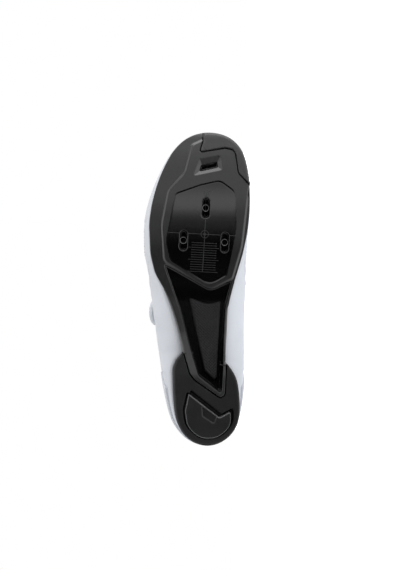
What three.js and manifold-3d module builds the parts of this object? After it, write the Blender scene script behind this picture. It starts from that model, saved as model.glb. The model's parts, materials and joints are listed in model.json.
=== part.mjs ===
// A road cycling shoe, right foot, lying on its inner side with its sole facing forward.
//
// The shoe is modelled in its own frame first: X runs from the heel to the toe, Y to the wearer's
// inner side and Z up from the tread. The finished shoe is then laid on its inner side, on the
// points that carry it there, with the toe along +X and the tread facing the front.
// Units are millimetres.

import * as THREE from "three";
import { mergeVertices } from "three/addons/utils/BufferGeometryUtils.js";
import { ConvexHull } from "three/addons/math/ConvexHull.js";
import Module from "manifold-3d";

const wasm = await Module();
wasm.setup();

// The last
const LENGTH = 276; // heel to toe
const BALL_WIDTH = 95; // across the ball of the foot
const INSTEP_HEIGHT = 100; // tread to the top of the instep, at the mouth of the throat
const SOLE_RISE = 30; // how far the sole's top edge climbs at the toe
const SPINE_HEEL = 0.123; // ends of the ridge, which the heel and toe turn round, over LENGTH
const SPINE_TOE = 0.855;

// Upper
const WALL = 2.4; // coated microfibre with its lining
const LASTING = 7; // width of the margin turned in under the foot
const FEATHER = 0.8; // how far inside the sole's edge the upper meets it
const UNDER_FULLNESS = 1.4; // exponent of the section under the widest line, where 1 is a slant
const OVERLAY = 1.2; // heel counter shell on the outside of the upper
const COLLAR_HEIGHT = 80; // tread to the collar's edge at the back of the heel
const THROAT_WIDTH = 29;
const THROAT_END = 196; // front end of the throat, from the heel
const THROAT_ROUND = 13; // rounding of its two front corners
const INSOLE_THICKNESS = 2.5; // over the turned in margin
const TONGUE_THICKNESS = 5;
const TONGUE_WIDTH = 48;
const TONGUE_TIP_WIDTH = 36;
const TONGUE_TOP = 86; // the tongue's two ends, from the heel
const TONGUE_TIP = 212;
const TONGUE_TOP_ROUND = 12; // rounding of the tongue's corners at each end
const TONGUE_TIP_ROUND = 10;

// Sole
const EDGE_ROUND = 2.4; // how far the sole's side draws in at the tread
const EDGE_SHOULDER = 0.8; // how far it still draws in a tenth of the way up
const RIM_STEP = 1.6; // depth of the outer rim under the tread platform
const RIM_START = 0.44; // where the rim begins to sink and where it is full, over LENGTH
const RIM_FULL = 0.56;
const PANEL_STEP = 0.8; // depth of the cleat panel under the platform
const VENT_STEP = 3; // depth of the hollow round the toe vent
const TOE_PAD_PROUD = 1.3; // how far the toe pad stands over the platform
const TOE_PAD_INLAY = 2.6; // how far it is let into the plate
const HEEL_PAD = 9; // height of the heel pad's top over the tread
const LIFT_THICKNESS = 6; // bolted heel lift, let into the pad
const LIFT_PROUD = 0.5; // how far it stands out of the pad
const LIFT_GROOVE = 3.2; // width of the groove along its front
const LIFT_DISH = 1.5; // depth of the hollow in its face
const INLAY_THICKNESS = 2.2; // textured inlay in the hollow under the arch

// Cleat fitting: three bolts in slots
const CLEAT_AT = 179; // rear bolts, from the heel
const CLEAT_ACROSS = 2.9; // middle of the rear bolts, towards the inner side
const CLEAT_TURN = 2.8; // degrees, toe towards the inner side
const BOLT_SPACING = 36; // between the two rear bolts
const BOLT_REACH = 29; // from the rear bolts to the front one
const SLOT_LENGTH = 17.5;
const SLOT_WIDTH = 6.8;
const NUT_BORE = 5;
const NUT_WALL = 0.6;
const NUT_SINK = 3.4; // tread to the end of the nut
const NUT_SEAT = 6; // tread to the shelf that the nut's flange rests on
const NUT_FLANGE = 12; // across the flange
const NUT_FLANGE_THICKNESS = 1.5;

// Closure
const DIAL_AT = 116; // from the heel
const DIAL_LEAN = 30; // degrees, the dial's axis over the horizontal
const DIAL_DIAMETER = 26;
const DIAL_BASE_DIAMETER = 28;
const DIAL_BASE = 3; // height of the fixed base over the upper
const DIAL_KNOB = 5.2; // height of the knob
const DIAL_BEVEL = 0.8;
const DIAL_GRIPS = 20; // grips round the knob
const DIAL_GRIP_DEPTH = 0.7;
const LACE_DIAMETER = 1.4;
const LACE_HEIGHT = 2; // lace axis over the upper's surface
const LACE_GAP = 0.7; // from the lace's end to the piece it runs into
const GUIDE_LENGTH = 13;
const GUIDE_WIDTH = 8;
const GUIDE_HEIGHT = 3.6;
const GUIDE_INSET = 1.5; // from the throat's edge to the guide
const GUIDE_ROUND = 2;
const GUIDE_MOUTH = 4; // from the middle of a guide to each of its two mouths

const GAP = 0.3; // between pieces that meet
const DISH_OVER = 4.8; // how far over the sole's top edge the opening for the foot is cut

// Fineness of the mesh
const STATIONS = 34; // along the shoe
const UNDER_ROWS = 3; // from the sole to the widest line
const OVER_ROWS = 8; // from the widest line to the ridge
const ARC = 3; // facets in a rounded corner
const ROUND = 20; // facets round a bore
const LACE_FACETS = 8;
const LACE_STEPS = 10;
const MERGE = 1e-4; // points nearer than this are one point
const LONGEST_CUT = 0.476; // the most of an edge that the rounding of one corner takes

// The outline from below. Medial, lateral and spine are shares of BALL_WIDTH from the long axis: the
// inner and outer side of the upper, and its ridge. The foot columns are the sole's reach from the
// spine as a share of the upper's.
const PLAN = [
  { at: 0, medial: 0.07, lateral: 0.07, spine: 0.063, footMedial: 0.985, footLateral: 0.985 },
  { at: 0.035, medial: 0.286, lateral: -0.15, spine: 0.063, footMedial: 0.975, footLateral: 0.975 },
  { at: 0.085, medial: 0.373, lateral: -0.243, spine: 0.063, footMedial: 0.935, footLateral: 0.93 },
  { at: 0.15, medial: 0.41, lateral: -0.293, spine: 0.062, footMedial: 0.857, footLateral: 0.87 },
  { at: 0.212, medial: 0.426, lateral: -0.325, spine: 0.058, footMedial: 0.75, footLateral: 0.815 },
  { at: 0.243, medial: 0.43, lateral: -0.336, spine: 0.054, footMedial: 0.627, footLateral: 0.79 },
  { at: 0.272, medial: 0.433, lateral: -0.347, spine: 0.05, footMedial: 0.475, footLateral: 0.7 },
  { at: 0.303, medial: 0.437, lateral: -0.36, spine: 0.046, footMedial: 0.49, footLateral: 0.52 },
  { at: 0.37, medial: 0.44, lateral: -0.385, spine: 0.04, footMedial: 0.527, footLateral: 0.577 },
  { at: 0.435, medial: 0.446, lateral: -0.414, spine: 0.034, footMedial: 0.55, footLateral: 0.66 },
  { at: 0.497, medial: 0.453, lateral: -0.439, spine: 0.032, footMedial: 0.633, footLateral: 0.775 },
  { at: 0.56, medial: 0.463, lateral: -0.471, spine: 0.032, footMedial: 0.735, footLateral: 0.908 },
  { at: 0.623, medial: 0.471, lateral: -0.501, spine: 0.032, footMedial: 0.832, footLateral: 0.93 },
  { at: 0.687, medial: 0.484, lateral: -0.502, spine: 0.04, footMedial: 0.885, footLateral: 0.944 },
  { at: 0.75, medial: 0.494, lateral: -0.475, spine: 0.05, footMedial: 0.904, footLateral: 0.962 },
  { at: 0.813, medial: 0.49, lateral: -0.425, spine: 0.066, footMedial: 0.914, footLateral: 0.97 },
  { at: 0.876, medial: 0.458, lateral: -0.347, spine: 0.074, footMedial: 0.955, footLateral: 0.985 },
  { at: 0.94, medial: 0.394, lateral: -0.237, spine: 0.074, footMedial: 0.995, footLateral: 0.995 },
  { at: 0.978, medial: 0.301, lateral: -0.119, spine: 0.074, footMedial: 1, footLateral: 1 },
  { at: 1, medial: 0.092, lateral: 0.092, spine: 0.074, footMedial: 1, footLateral: 1 },
];

// The side view. Tread, hollow, deck and bed are shares of SOLE_RISE: the sole's underside, the floor
// of the hollow under the arch, the dished top of the plate under the foot and the sole's top edge.
// Widest and ridge are shares of INSTEP_HEIGHT: the upper's widest line and its top. Full is the
// section's exponent: 2 is an ellipse, and more is boxier.
const RISE = [
  { at: 0, tread: 0.36, hollow: 0.32, deck: 0.5, bed: 0.74, widest: 0.3, ridge: 1.1, full: 2.2 },
  { at: 0.035, tread: 0.1, hollow: 0.32, deck: 0.48, bed: 0.73, widest: 0.3, ridge: 1.1, full: 2.2 },
  { at: 0.08, tread: 0, hollow: 0.32, deck: 0.46, bed: 0.72, widest: 0.3, ridge: 1.12, full: 2.2 },
  { at: 0.22, tread: 0, hollow: 0.33, deck: 0.47, bed: 0.71, widest: 0.31, ridge: 1.2, full: 2.2 },
  { at: 0.28, tread: 0.12, hollow: 0.4, deck: 0.53, bed: 0.7, widest: 0.34, ridge: 1.2, full: 2.2 },
  { at: 0.37, tread: 0.32, hollow: 0.46, deck: 0.58, bed: 0.67, widest: 0.38, ridge: 1.08, full: 2.15 },
  { at: 0.46, tread: 0.33, hollow: 0.46, deck: 0.56, bed: 0.61, widest: 0.4, ridge: 0.95, full: 2.1 },
  { at: 0.55, tread: 0.17, hollow: 0.29, deck: 0.41, bed: 0.5, widest: 0.4, ridge: 0.82, full: 2.1 },
  { at: 0.64, tread: 0, hollow: 0.1, deck: 0.29, bed: 0.4, widest: 0.4, ridge: 0.71, full: 2.15 },
  { at: 0.76, tread: 0, hollow: 0.1, deck: 0.29, bed: 0.38, widest: 0.395, ridge: 0.62, full: 2.2 },
  { at: 0.83, tread: 0.1, hollow: 0.2, deck: 0.34, bed: 0.44, widest: 0.37, ridge: 0.565, full: 2.25 },
  { at: 0.9, tread: 0.28, hollow: 0.38, deck: 0.48, bed: 0.6, widest: 0.35, ridge: 0.52, full: 2.3 },
  { at: 0.96, tread: 0.5, hollow: 0.6, deck: 0.7, bed: 0.81, widest: 0.355, ridge: 0.5, full: 2.3 },
  { at: 1, tread: 0.72, hollow: 0.82, deck: 0.9, bed: 1, widest: 0.375, ridge: 0.5, full: 2.3 },
];

// Outlines on the underside, corner by corner: at is a share of LENGTH from the heel, y a share of
// BALL_WIDTH from the long axis, and r the corner's radius in millimetres.
const CLEAT_PANEL = [
  { at: 0.8, y: -0.24, r: 6 },
  { at: 0.829, y: -0.005, r: 12 },
  { at: 0.844, y: 0.18, r: 9 },
  { at: 0.808, y: 0.32, r: 9 },
  { at: 0.69, y: 0.33, r: 40 },
  { at: 0.54, y: 0.245, r: 5 },
  { at: 0.507, y: 0.085, r: 14 },
  { at: 0.588, y: -0.285, r: 9 },
  { at: 0.65, y: -0.325, r: 20 },
];
const PLATFORM = [
  { at: 1.1, y: 0.03, r: 0 },
  { at: 0.977, y: 0.03, r: 1 },
  { at: 0.96, y: -0.075, r: 5 },
  { at: 0.868, y: -0.15, r: 14 },
  { at: 0.81, y: -0.305, r: 14 },
  { at: 0.7, y: -0.368, r: 40 },
  { at: 0.585, y: -0.345, r: 9 },
  { at: 0.49, y: 0.08, r: 9 },
  { at: 0.53, y: 0.305, r: 4 },
  { at: 0.63, y: 0.385, r: 40 },
  { at: 0.822, y: 0.45, r: 0 },
  { at: 1.1, y: 0.45, r: 0 },
];
const ARCH = [
  { at: 0.582, y: -0.344, r: 2 },
  { at: 0.525, y: -0.285, r: 20 },
  { at: 0.434, y: -0.19, r: 40 },
  { at: 0.3, y: -0.09, r: 12 },
  { at: 0.226, y: -0.026, r: 8 },
  { at: 0.172, y: 0.175, r: 2 },
  { at: 0.18, y: 0.195, r: 2 },
  { at: 0.434, y: 0.236, r: 20 },
  { at: 0.53, y: 0.305, r: 2 },
  { at: 0.497, y: 0.1, r: 9 },
];
const INLAY = [
  { at: 0.473, y: -0.1, r: 2 },
  { at: 0.449, y: 0.07, r: 20 },
  { at: 0.461, y: 0.194, r: 1 },
  { at: 0.22, y: 0.155, r: 3 },
  { at: 0.211, y: 0.128, r: 3 },
  { at: 0.24, y: 0.04, r: 6 },
];
const TOE_PAD = [
  { at: 1.2, y: 0.035, r: 0 },
  { at: 0.973, y: 0.035, r: 1 },
  { at: 0.932, y: -0.004, r: 2 },
  { at: 0.947, y: 0.235, r: 5 },
  { at: 0.94, y: 0.325, r: 6 },
  { at: 0.865, y: 0.35, r: 6 },
  { at: 0.8, y: 0.52, r: 0 },
  { at: 1.2, y: 0.8, r: 0 },
];
const VENT = [
  { at: 0.854, y: -0.072, r: 2 },
  { at: 0.912, y: -0.004, r: 3 },
  { at: 0.926, y: 0.195, r: 4 },
  { at: 0.875, y: 0.207, r: 3 },
];
const VENT_MOUTH = [
  { at: 0.871, y: -0.006, r: 0.5 },
  { at: 0.89, y: 0.01, r: 0.5 },
  { at: 0.902, y: 0.168, r: 0.5 },
  { at: 0.884, y: 0.162, r: 0.5 },
];
const PLATE_TAIL = [
  { at: 0.31, y: -0.6, r: 0 },
  { at: 0.302, y: -0.158, r: 2 },
  { at: 0.233, y: -0.104, r: 6 },
  { at: 0.213, y: -0.058, r: 6 },
  { at: 0.155, y: 0.18, r: 4 },
  { at: 0.167, y: 0.222, r: 4 },
  { at: 0.268, y: 0.236, r: 2 },
  { at: 0.268, y: 0.6, r: 0 },
  { at: 0.6, y: 0.6, r: 0 },
  { at: 0.6, y: -0.6, r: 0 },
];
const HEEL_LIFT = [
  { at: 0.172, y: -0.115, r: 1 },
  { at: 0.116, y: -0.15, r: 10 },
  { at: 0.068, y: -0.132, r: 19 },
  { at: 0.027, y: -0.012, r: 19 },
  { at: 0.027, y: 0.159, r: 19 },
  { at: 0.068, y: 0.279, r: 19 },
  { at: 0.116, y: 0.275, r: 2 },
  { at: 0.0955, y: 0.17, r: 2 },
];
const LIFT_HOLLOW = [
  { at: 0.134, y: 0.005, r: 1 },
  { at: 0.1, y: 0.008, r: 2 },
  { at: 0.074, y: 0.12, r: 2 },
  { at: 0.1, y: 0.148, r: 1 },
];

// The sole's side: how far it is inside its widest line, by the share of its height over the tread.
const SOLE_SIDE = [
  { share: 0, inset: EDGE_ROUND },
  { share: 0.1, inset: EDGE_SHOULDER },
  { share: 0.3, inset: 0 },
  { share: 1, inset: FEATHER },
];

// Outlines from the side: at is a share of LENGTH, up a share of COLLAR_HEIGHT, r a radius.
const COUNTER = [
  { at: -0.1, up: 0.33, r: 0 },
  { at: 0.18, up: 0.33, r: 1 },
  { at: 0.25, up: 0.56, r: 12 },
  { at: 0.15, up: 0.68, r: 20 },
  { at: -0.1, up: 0.86, r: 0 },
];
const COLLAR = [
  { at: -0.1, up: 1.04, r: 0 },
  { at: 0.06, up: 1.0, r: 20 },
  { at: 0.145, up: 0.78, r: 24 },
  { at: 0.28, up: 0.77, r: 26 },
  { at: 0.375, up: 1.19, r: 14 },
  { at: 0.44, up: 1.24, r: 0 },
  { at: 0.44, up: 2.4, r: 0 },
  { at: -0.1, up: 2.4, r: 0 },
];

// Lace guides: side is 1 on the inner side of the throat and -1 on the outer one.
const GUIDES = [
  { name: "medial_rear", at: 0.442, side: 1 },
  { name: "lateral_rear", at: 0.522, side: -1 },
  { name: "medial_front", at: 0.572, side: 1 },
  { name: "lateral_front", at: 0.652, side: -1 },
];

// Materials: the density, in kg per cubic metre, weighs the pieces against each other.
const FINISHES = {
  white: { type: "leather", color: 0xd3d6dc, roughness: 0.45, metalness: 0, density: 900 },
  lining: { type: "fabric", color: 0xb9bcc2, roughness: 0.9, metalness: 0, density: 300 },
  nylon: { type: "gloss_plastic", color: 0x0b0b0c, roughness: 0.25, metalness: 0, density: 1100 },
  textured: { type: "matte_plastic", color: 0x17181a, roughness: 0.7, metalness: 0, density: 1100 },
  rubber: { type: "rubber", color: 0x1b1b1c, roughness: 0.85, metalness: 0, density: 1200 },
  steel: { type: "brushed_steel", color: 0x8d9094, roughness: 0.35, metalness: 1, density: 7850 },
  closure: { type: "matte_plastic", color: 0xc6cdd8, roughness: 0.4, metalness: 0, density: 1100 },
};

const { lerp, clamp, degToRad, smoothstep } = THREE.MathUtils;
const FAR = 2 * LENGTH; // beyond every edge of the shoe
const QUARTER = Math.PI / 2;

// Tables

// Stations bunch up at both ends, where the outline turns round: a station's turn runs evenly from
// 0 at the heel to 1 at the toe.
const turnOf = (at) => Math.acos(1 - 2 * clamp(at, 0, 1)) / Math.PI;
const atOf = (turn) => (1 - Math.cos(Math.PI * turn)) / 2;
const stations = Array.from({ length: STATIONS + 1 }, (_, i) => atOf(i / STATIONS));

// A column of a table as a smooth function of the share of LENGTH. Slopes are limited as in Fritsch
// and Carlson's method, so that the curve never overshoots a row and level stretches stay level.
function column(table, name) {
  const t = table.map((row) => turnOf(row.at));
  const y = table.map((row) => row[name]);
  const step = t.slice(1).map((next, i) => next - t[i]);
  const rate = step.map((h, i) => (y[i + 1] - y[i]) / h);
  const slope = y.map((_, i) => {
    if (i === 0) return rate[0];
    if (i === y.length - 1) return rate[i - 1];
    if (rate[i - 1] * rate[i] <= 0) return 0;
    const before = 2 * step[i] + step[i - 1];
    const after = step[i] + 2 * step[i - 1];
    return (before + after) / (before / rate[i - 1] + after / rate[i]);
  });
  return (at) => {
    const turn = turnOf(at);
    let i = 0;
    while (i < step.length - 1 && turn > t[i + 1]) i += 1;
    const h = step[i];
    const s = (turn - t[i]) / h;
    const start = y[i] * (1 + 2 * s) + slope[i] * h * s;
    const end = y[i + 1] * (3 - 2 * s) + slope[i + 1] * h * (s - 1);
    return start * (1 - s) ** 2 + end * s * s;
  };
}

const columns = (table, names) => Object.fromEntries(names.map((name) => [name, column(table, name)]));
const plan = columns(PLAN, ["medial", "lateral", "spine", "footMedial", "footLateral"]);
const rise = columns(RISE, ["tread", "hollow", "deck", "bed", "widest", "ridge", "full"]);
const treadAt = (x) => SOLE_RISE * rise.tread(x / LENGTH);
const hollowAt = (x) => SOLE_RISE * rise.hollow(x / LENGTH);
const deckAt = (x) => SOLE_RISE * rise.deck(x / LENGTH);
const bedAt = (x) => SOLE_RISE * rise.bed(x / LENGTH);
const spineAt = (x) => BALL_WIDTH * plan.spine(x / LENGTH);

// The last

// One half of a section: the point of the spine that it turns about, its direction and its reach.
// Side is 1 for the inner half and -1 for the outer one.
function halfSection(at, side) {
  const hub = clamp(at, SPINE_HEEL, SPINE_TOE);
  const spine = new THREE.Vector2(hub * LENGTH, plan.spine(hub) * BALL_WIDTH);
  const edge = side > 0 ? plan.medial(at) : plan.lateral(at);
  const reach = new THREE.Vector2(at * LENGTH, edge * BALL_WIDTH).sub(spine);
  const foot = side > 0 ? plan.footMedial(at) : plan.footLateral(at);
  return {
    spine,
    direction: reach.clone().normalize(),
    reach: reach.length(),
    foot: reach.length() * foot,
    widest: rise.widest(at) * INSTEP_HEIGHT,
    ridge: rise.ridge(hub) * INSTEP_HEIGHT,
    fullness: rise.full(hub),
  };
}

const place = (half, radius, z) =>
  new THREE.Vector3(
    half.spine.x + half.direction.x * radius,
    half.spine.y + half.direction.y * radius,
    z,
  );

// A point of the upper's surface moved out by grow. The angle is 0 at the widest line, a quarter
// turn at the ridge and minus a quarter turn where the upper meets the sole.
function surfacePoint(half, angle, grow) {
  const reach = half.reach + grow;
  if (angle >= 0) {
    const power = 2 / half.fullness;
    const radius = angle < QUARTER ? reach * Math.cos(angle) ** power : 0;
    const height = (half.ridge + grow - half.widest) * Math.sin(angle) ** power;
    return place(half, radius, half.widest + height);
  }
  const feather = Math.min(half.foot - FEATHER, half.reach) + grow;
  const floor = bedAt(place(half, feather, 0).x) - grow;
  const power = 2 / UNDER_FULLNESS;
  const radius = lerp(feather, reach, Math.max(Math.cos(angle), 0) ** power);
  return place(half, radius, lerp(floor, half.widest, 1 - Math.sin(-angle) ** power));
}

// A point over the spine's length, at a distance from the spine, on the surface moved out by grow.
function crown(x, across, grow) {
  const half = halfSection(x / LENGTH, Math.sign(across) || 1);
  const share = clamp(Math.abs(across) / (half.reach + grow), 0, 1);
  const height = (1 - share ** half.fullness) ** (1 / half.fullness);
  const z = lerp(half.widest, half.ridge + grow, height);
  return new THREE.Vector3(x, half.spine.y + across, z);
}

// Solids

// A three.js geometry as a closed solid. Faces that have shrunk to a line are left out.
function solid(geometry) {
  const bare = new THREE.BufferGeometry().setIndex(geometry.index);
  bare.setAttribute("position", geometry.getAttribute("position"));
  const merged = mergeVertices(bare, MERGE);
  const index = merged.index.array;
  const kept = [];
  for (let i = 0; i < index.length; i += 3) {
    const [a, b, c] = [index[i], index[i + 1], index[i + 2]];
    if (a !== b && b !== c && c !== a) kept.push(a, b, c);
  }
  const mesh = new wasm.Mesh({
    numProp: 3,
    vertProperties: new Float32Array(merged.attributes.position.array),
    triVerts: new Uint32Array(kept),
  });
  return new wasm.Manifold(mesh);
}

// A closed solid from rings of points, one ring a station. The first and the last ring are folded
// flat at the heel and the toe, so they need no face of their own.
function loft(rings) {
  const count = rings[0].length;
  const faces = [];
  for (let i = 0; i + 1 < rings.length; i += 1) {
    for (let k = 0; k < count; k += 1) {
      const a = i * count + k;
      const b = i * count + ((k + 1) % count);
      faces.push(a, b, b + count, a, b + count, a + count);
    }
  }
  return solid(new THREE.BufferGeometry().setFromPoints(rings.flat()).setIndex(faces));
}

// The last's whole form, filled, moved out by grow.
function lastBody(grow) {
  const under = Array.from({ length: UNDER_ROWS }, (_, i) => (QUARTER * (i - UNDER_ROWS)) / UNDER_ROWS);
  const over = Array.from({ length: OVER_ROWS + 1 }, (_, i) => (QUARTER * i) / OVER_ROWS);
  const angles = [...under, ...over];
  const rings = stations.map((at) => {
    const inner = halfSection(at, 1);
    const outer = halfSection(at, -1);
    const up = angles.map((angle) => surfacePoint(inner, angle, grow));
    const down = angles.slice(0, -1).map((angle) => surfacePoint(outer, angle, grow));
    return [...up, ...down.reverse()];
  });
  return loft(rings);
}

// The sole's whole form: drop lowers its tread. Its side is fullest low down, and draws in to the
// tread and to the upper.
function soleBody(drop) {
  const rings = stations.map((at) => {
    const edge = (half) =>
      SOLE_SIDE.map(({ share, inset }) => {
        const point = place(half, half.foot - inset, 0);
        return point.setZ(lerp(treadAt(point.x) - drop, bedAt(point.x) - GAP, share));
      });
    return [...edge(halfSection(at, 1)), ...edge(halfSection(at, -1)).reverse()];
  });
  return loft(rings);
}

// What fills the dish in the plate and the opening over it, inside the upper's turned in margin,
// moved in by inset.
function dishBody(inset) {
  const rings = stations.map((at) => {
    const edge = (half) => {
      const point = place(half, half.foot - FEATHER - LASTING - inset, 0);
      const low = deckAt(point.x) + inset;
      return [point.clone().setZ(low), point.clone().setZ(bedAt(point.x) + DISH_OVER)];
    };
    return [...edge(halfSection(at, 1)), ...edge(halfSection(at, -1)).reverse()];
  });
  return loft(rings);
}

// A closed outline as a three.js shape: its corners are moved out by grow and rounded.
function outline(corners, grow = 0) {
  const clockwise = THREE.ShapeUtils.isClockWise(corners.map((corner) => corner.point));
  const ring = clockwise ? [...corners].reverse() : corners;
  const moved = ring.map(({ point, r }, i) => {
    const along = point.clone().sub(ring.at(i - 1).point).normalize();
    const next = ring[(i + 1) % ring.length].point.clone().sub(point).normalize();
    const push = new THREE.Vector2(along.y + next.y, -along.x - next.x);
    push.multiplyScalar(grow / (1 + along.dot(next)));
    const convex = Math.sign(along.cross(next));
    return { point: point.clone().add(push), r: r > 0 ? Math.max(r + convex * grow, 0) : 0 };
  });
  const shape = new THREE.Shape();
  moved.forEach(({ point, r }, i) => {
    const back = moved.at(i - 1).point.clone().sub(point);
    const ahead = moved[(i + 1) % moved.length].point.clone().sub(point);
    const half = Math.acos(clamp(back.dot(ahead) / (back.length() * ahead.length()), -1, 1)) / 2;
    const shorter = Math.min(back.length(), ahead.length());
    const cut = Math.min(r / Math.tan(half), shorter * LONGEST_CUT);
    const from = point.clone().addScaledVector(back.normalize(), cut);
    const to = point.clone().addScaledVector(ahead.normalize(), cut);
    if (i === 0) shape.moveTo(from.x, from.y);
    else shape.lineTo(from.x, from.y);
    if (cut > 0) shape.quadraticCurveTo(point.x, point.y, to.x, to.y);
  });
  return shape;
}

// A shape made solid from one height to another.
function upright(shape, low = -FAR, high = FAR) {
  const options = { depth: high - low, bevelEnabled: false, curveSegments: ARC };
  return solid(new THREE.ExtrudeGeometry(shape, options).translate(0, 0, low));
}

// A shape drawn from the side, made solid across the whole shoe.
function across(shape) {
  const options = { depth: 2 * FAR, bevelEnabled: false, curveSegments: ARC };
  return solid(new THREE.ExtrudeGeometry(shape, options).rotateX(QUARTER).translate(0, FAR, 0));
}

const seenBelow = ({ at, y, r }) => ({ point: new THREE.Vector2(at * LENGTH, y * BALL_WIDTH), r });
const seenSideways = ({ at, up, r }) => ({
  point: new THREE.Vector2(at * LENGTH, up * COLLAR_HEIGHT),
  r,
});
const zone = (corners, grow = 0) => upright(outline(corners.map(seenBelow), grow));
const sideZone = (corners) => across(outline(corners.map(seenSideways)));

// Everything under a height that changes along the shoe.
function under(height) {
  const ends = [
    new THREE.Vector2(-FAR, height(0)),
    new THREE.Vector2(-FAR, -FAR),
    new THREE.Vector2(FAR, -FAR),
    new THREE.Vector2(FAR, height(LENGTH)),
  ];
  const line = stations.map((at) => new THREE.Vector2(at * LENGTH, height(at * LENGTH)));
  return across(new THREE.Shape([...ends, ...line.reverse()]));
}

const belowTread = (depth) => under((x) => treadAt(x) + depth);

// A box between two corners.
function box(low, high) {
  const size = high.map((value, i) => value - low[i]);
  const middle = high.map((value, i) => (value + low[i]) / 2);
  return solid(new THREE.BoxGeometry(...size).translate(...middle));
}

// A cylinder standing from one height to another.
function cylinder(radius, low, high, facets = ROUND) {
  const geometry = new THREE.CylinderGeometry(radius, radius, high - low, facets);
  return solid(geometry.rotateX(QUARTER).translate(0, 0, (low + high) / 2));
}

// Sole

const boltSpots = [
  { name: "front", x: BOLT_REACH, y: 0 },
  { name: "medial", x: 0, y: BOLT_SPACING / 2 },
  { name: "lateral", x: 0, y: -BOLT_SPACING / 2 },
];
const atBolt = (piece, spot) =>
  piece
    .translate([spot.x, spot.y, 0])
    .rotate([0, 0, CLEAT_TURN])
    .translate([CLEAT_AT, CLEAT_ACROSS, 0]);

const slot = () => {
  const run = (SLOT_LENGTH - SLOT_WIDTH) / 2;
  const shape = new THREE.Shape();
  shape.absarc(run, 0, SLOT_WIDTH / 2, -QUARTER, QUARTER);
  shape.absarc(-run, 0, SLOT_WIDTH / 2, QUARTER, 3 * QUARTER);
  const options = { depth: 2 * FAR, bevelEnabled: false, curveSegments: 2 * ARC };
  return solid(new THREE.ExtrudeGeometry(shape, options).translate(0, 0, -FAR));
};

function nut() {
  const shelf = NUT_SEAT + GAP;
  const flange = NUT_FLANGE / 2;
  return cylinder(NUT_BORE / 2 + NUT_WALL, NUT_SINK, shelf + NUT_FLANGE_THICKNESS / 2)
    .add(box([-flange, -flange, shelf], [flange, flange, shelf + NUT_FLANGE_THICKNESS]))
    .subtract(cylinder(NUT_BORE / 2, -FAR, FAR));
}

// The room that the heel pad takes: everything behind the plate's tail, up to the pad's top.
const heelRoom = (grow, top) =>
  box([-FAR, -FAR, -FAR], [LENGTH / 2, FAR, top]).subtract(zone(PLATE_TAIL, grow));

function makePlate() {
  const pocket = NUT_FLANGE / 2 + GAP;
  const rim = (x) => treadAt(x) + lerp(-GAP, RIM_STEP, smoothstep(x / LENGTH, RIM_START, RIM_FULL));
  let plate = soleBody(0)
    .subtract(heelRoom(0, HEEL_PAD + GAP))
    .subtract(under(rim).subtract(zone(PLATFORM)))
    .subtract(under(hollowAt).intersect(zone(ARCH)))
    .subtract(belowTread(PANEL_STEP).intersect(zone(CLEAT_PANEL)))
    .subtract(belowTread(VENT_STEP).intersect(zone(VENT)))
    .subtract(belowTread(TOE_PAD_INLAY + GAP).intersect(zone(TOE_PAD, GAP)))
    .subtract(zone(VENT_MOUTH))
    .subtract(dishBody(0));
  for (const spot of boltSpots) {
    plate = plate
      .subtract(atBolt(slot(), spot))
      .subtract(atBolt(box([-pocket, -pocket, NUT_SEAT], [pocket, pocket, FAR]), spot));
  }
  return plate;
}

function makeHeelPad() {
  const lift = zone(HEEL_LIFT, GAP);
  const front = new THREE.Vector2(HEEL_LIFT[0].y - HEEL_LIFT.at(-1).y, 0);
  front.x *= BALL_WIDTH;
  front.y = (HEEL_LIFT.at(-1).at - HEEL_LIFT[0].at) * LENGTH;
  front.setLength(LIFT_GROOVE);
  const groove = lift.translate([-front.x, -front.y, 0]);
  const opening = lift.add(groove).intersect(box([-FAR, -FAR, -FAR], [FAR, FAR, LIFT_THICKNESS + GAP]));
  return soleBody(0).intersect(heelRoom(GAP, HEEL_PAD)).subtract(opening);
}

function makeHeelLift() {
  return soleBody(LIFT_PROUD)
    .intersect(zone(HEEL_LIFT))
    .intersect(box([-FAR, -FAR, -FAR], [FAR, FAR, LIFT_THICKNESS]))
    .subtract(belowTread(LIFT_DISH).intersect(zone(LIFT_HOLLOW)));
}

const makeToePad = () =>
  soleBody(TOE_PAD_PROUD).intersect(belowTread(TOE_PAD_INLAY)).intersect(zone(TOE_PAD));

const makeInlay = () =>
  under((x) => hollowAt(x) - GAP)
    .subtract(under((x) => hollowAt(x) - GAP - INLAY_THICKNESS))
    .intersect(zone(INLAY));

// Upper

const throat = () => {
  const corner = (x, side, r) => ({
    point: new THREE.Vector2(x, spineAt(x) + (side * THROAT_WIDTH) / 2),
    r,
  });
  const corners = [
    corner(TONGUE_TOP, -1, 0),
    corner(THROAT_END, -1, THROAT_ROUND),
    corner(THROAT_END, 1, THROAT_ROUND),
    corner(TONGUE_TOP, 1, 0),
  ];
  return upright(outline(corners), INSTEP_HEIGHT / 2, FAR);
};

const makeUpper = () =>
  lastBody(0)
    .subtract(lastBody(-WALL))
    .subtract(dishBody(0))
    .subtract(sideZone(COLLAR))
    .subtract(throat());

const makeInsole = () =>
  lastBody(-WALL - GAP)
    .add(dishBody(GAP))
    .intersect(under((x) => bedAt(x) + WALL + GAP + INSOLE_THICKNESS));

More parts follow.
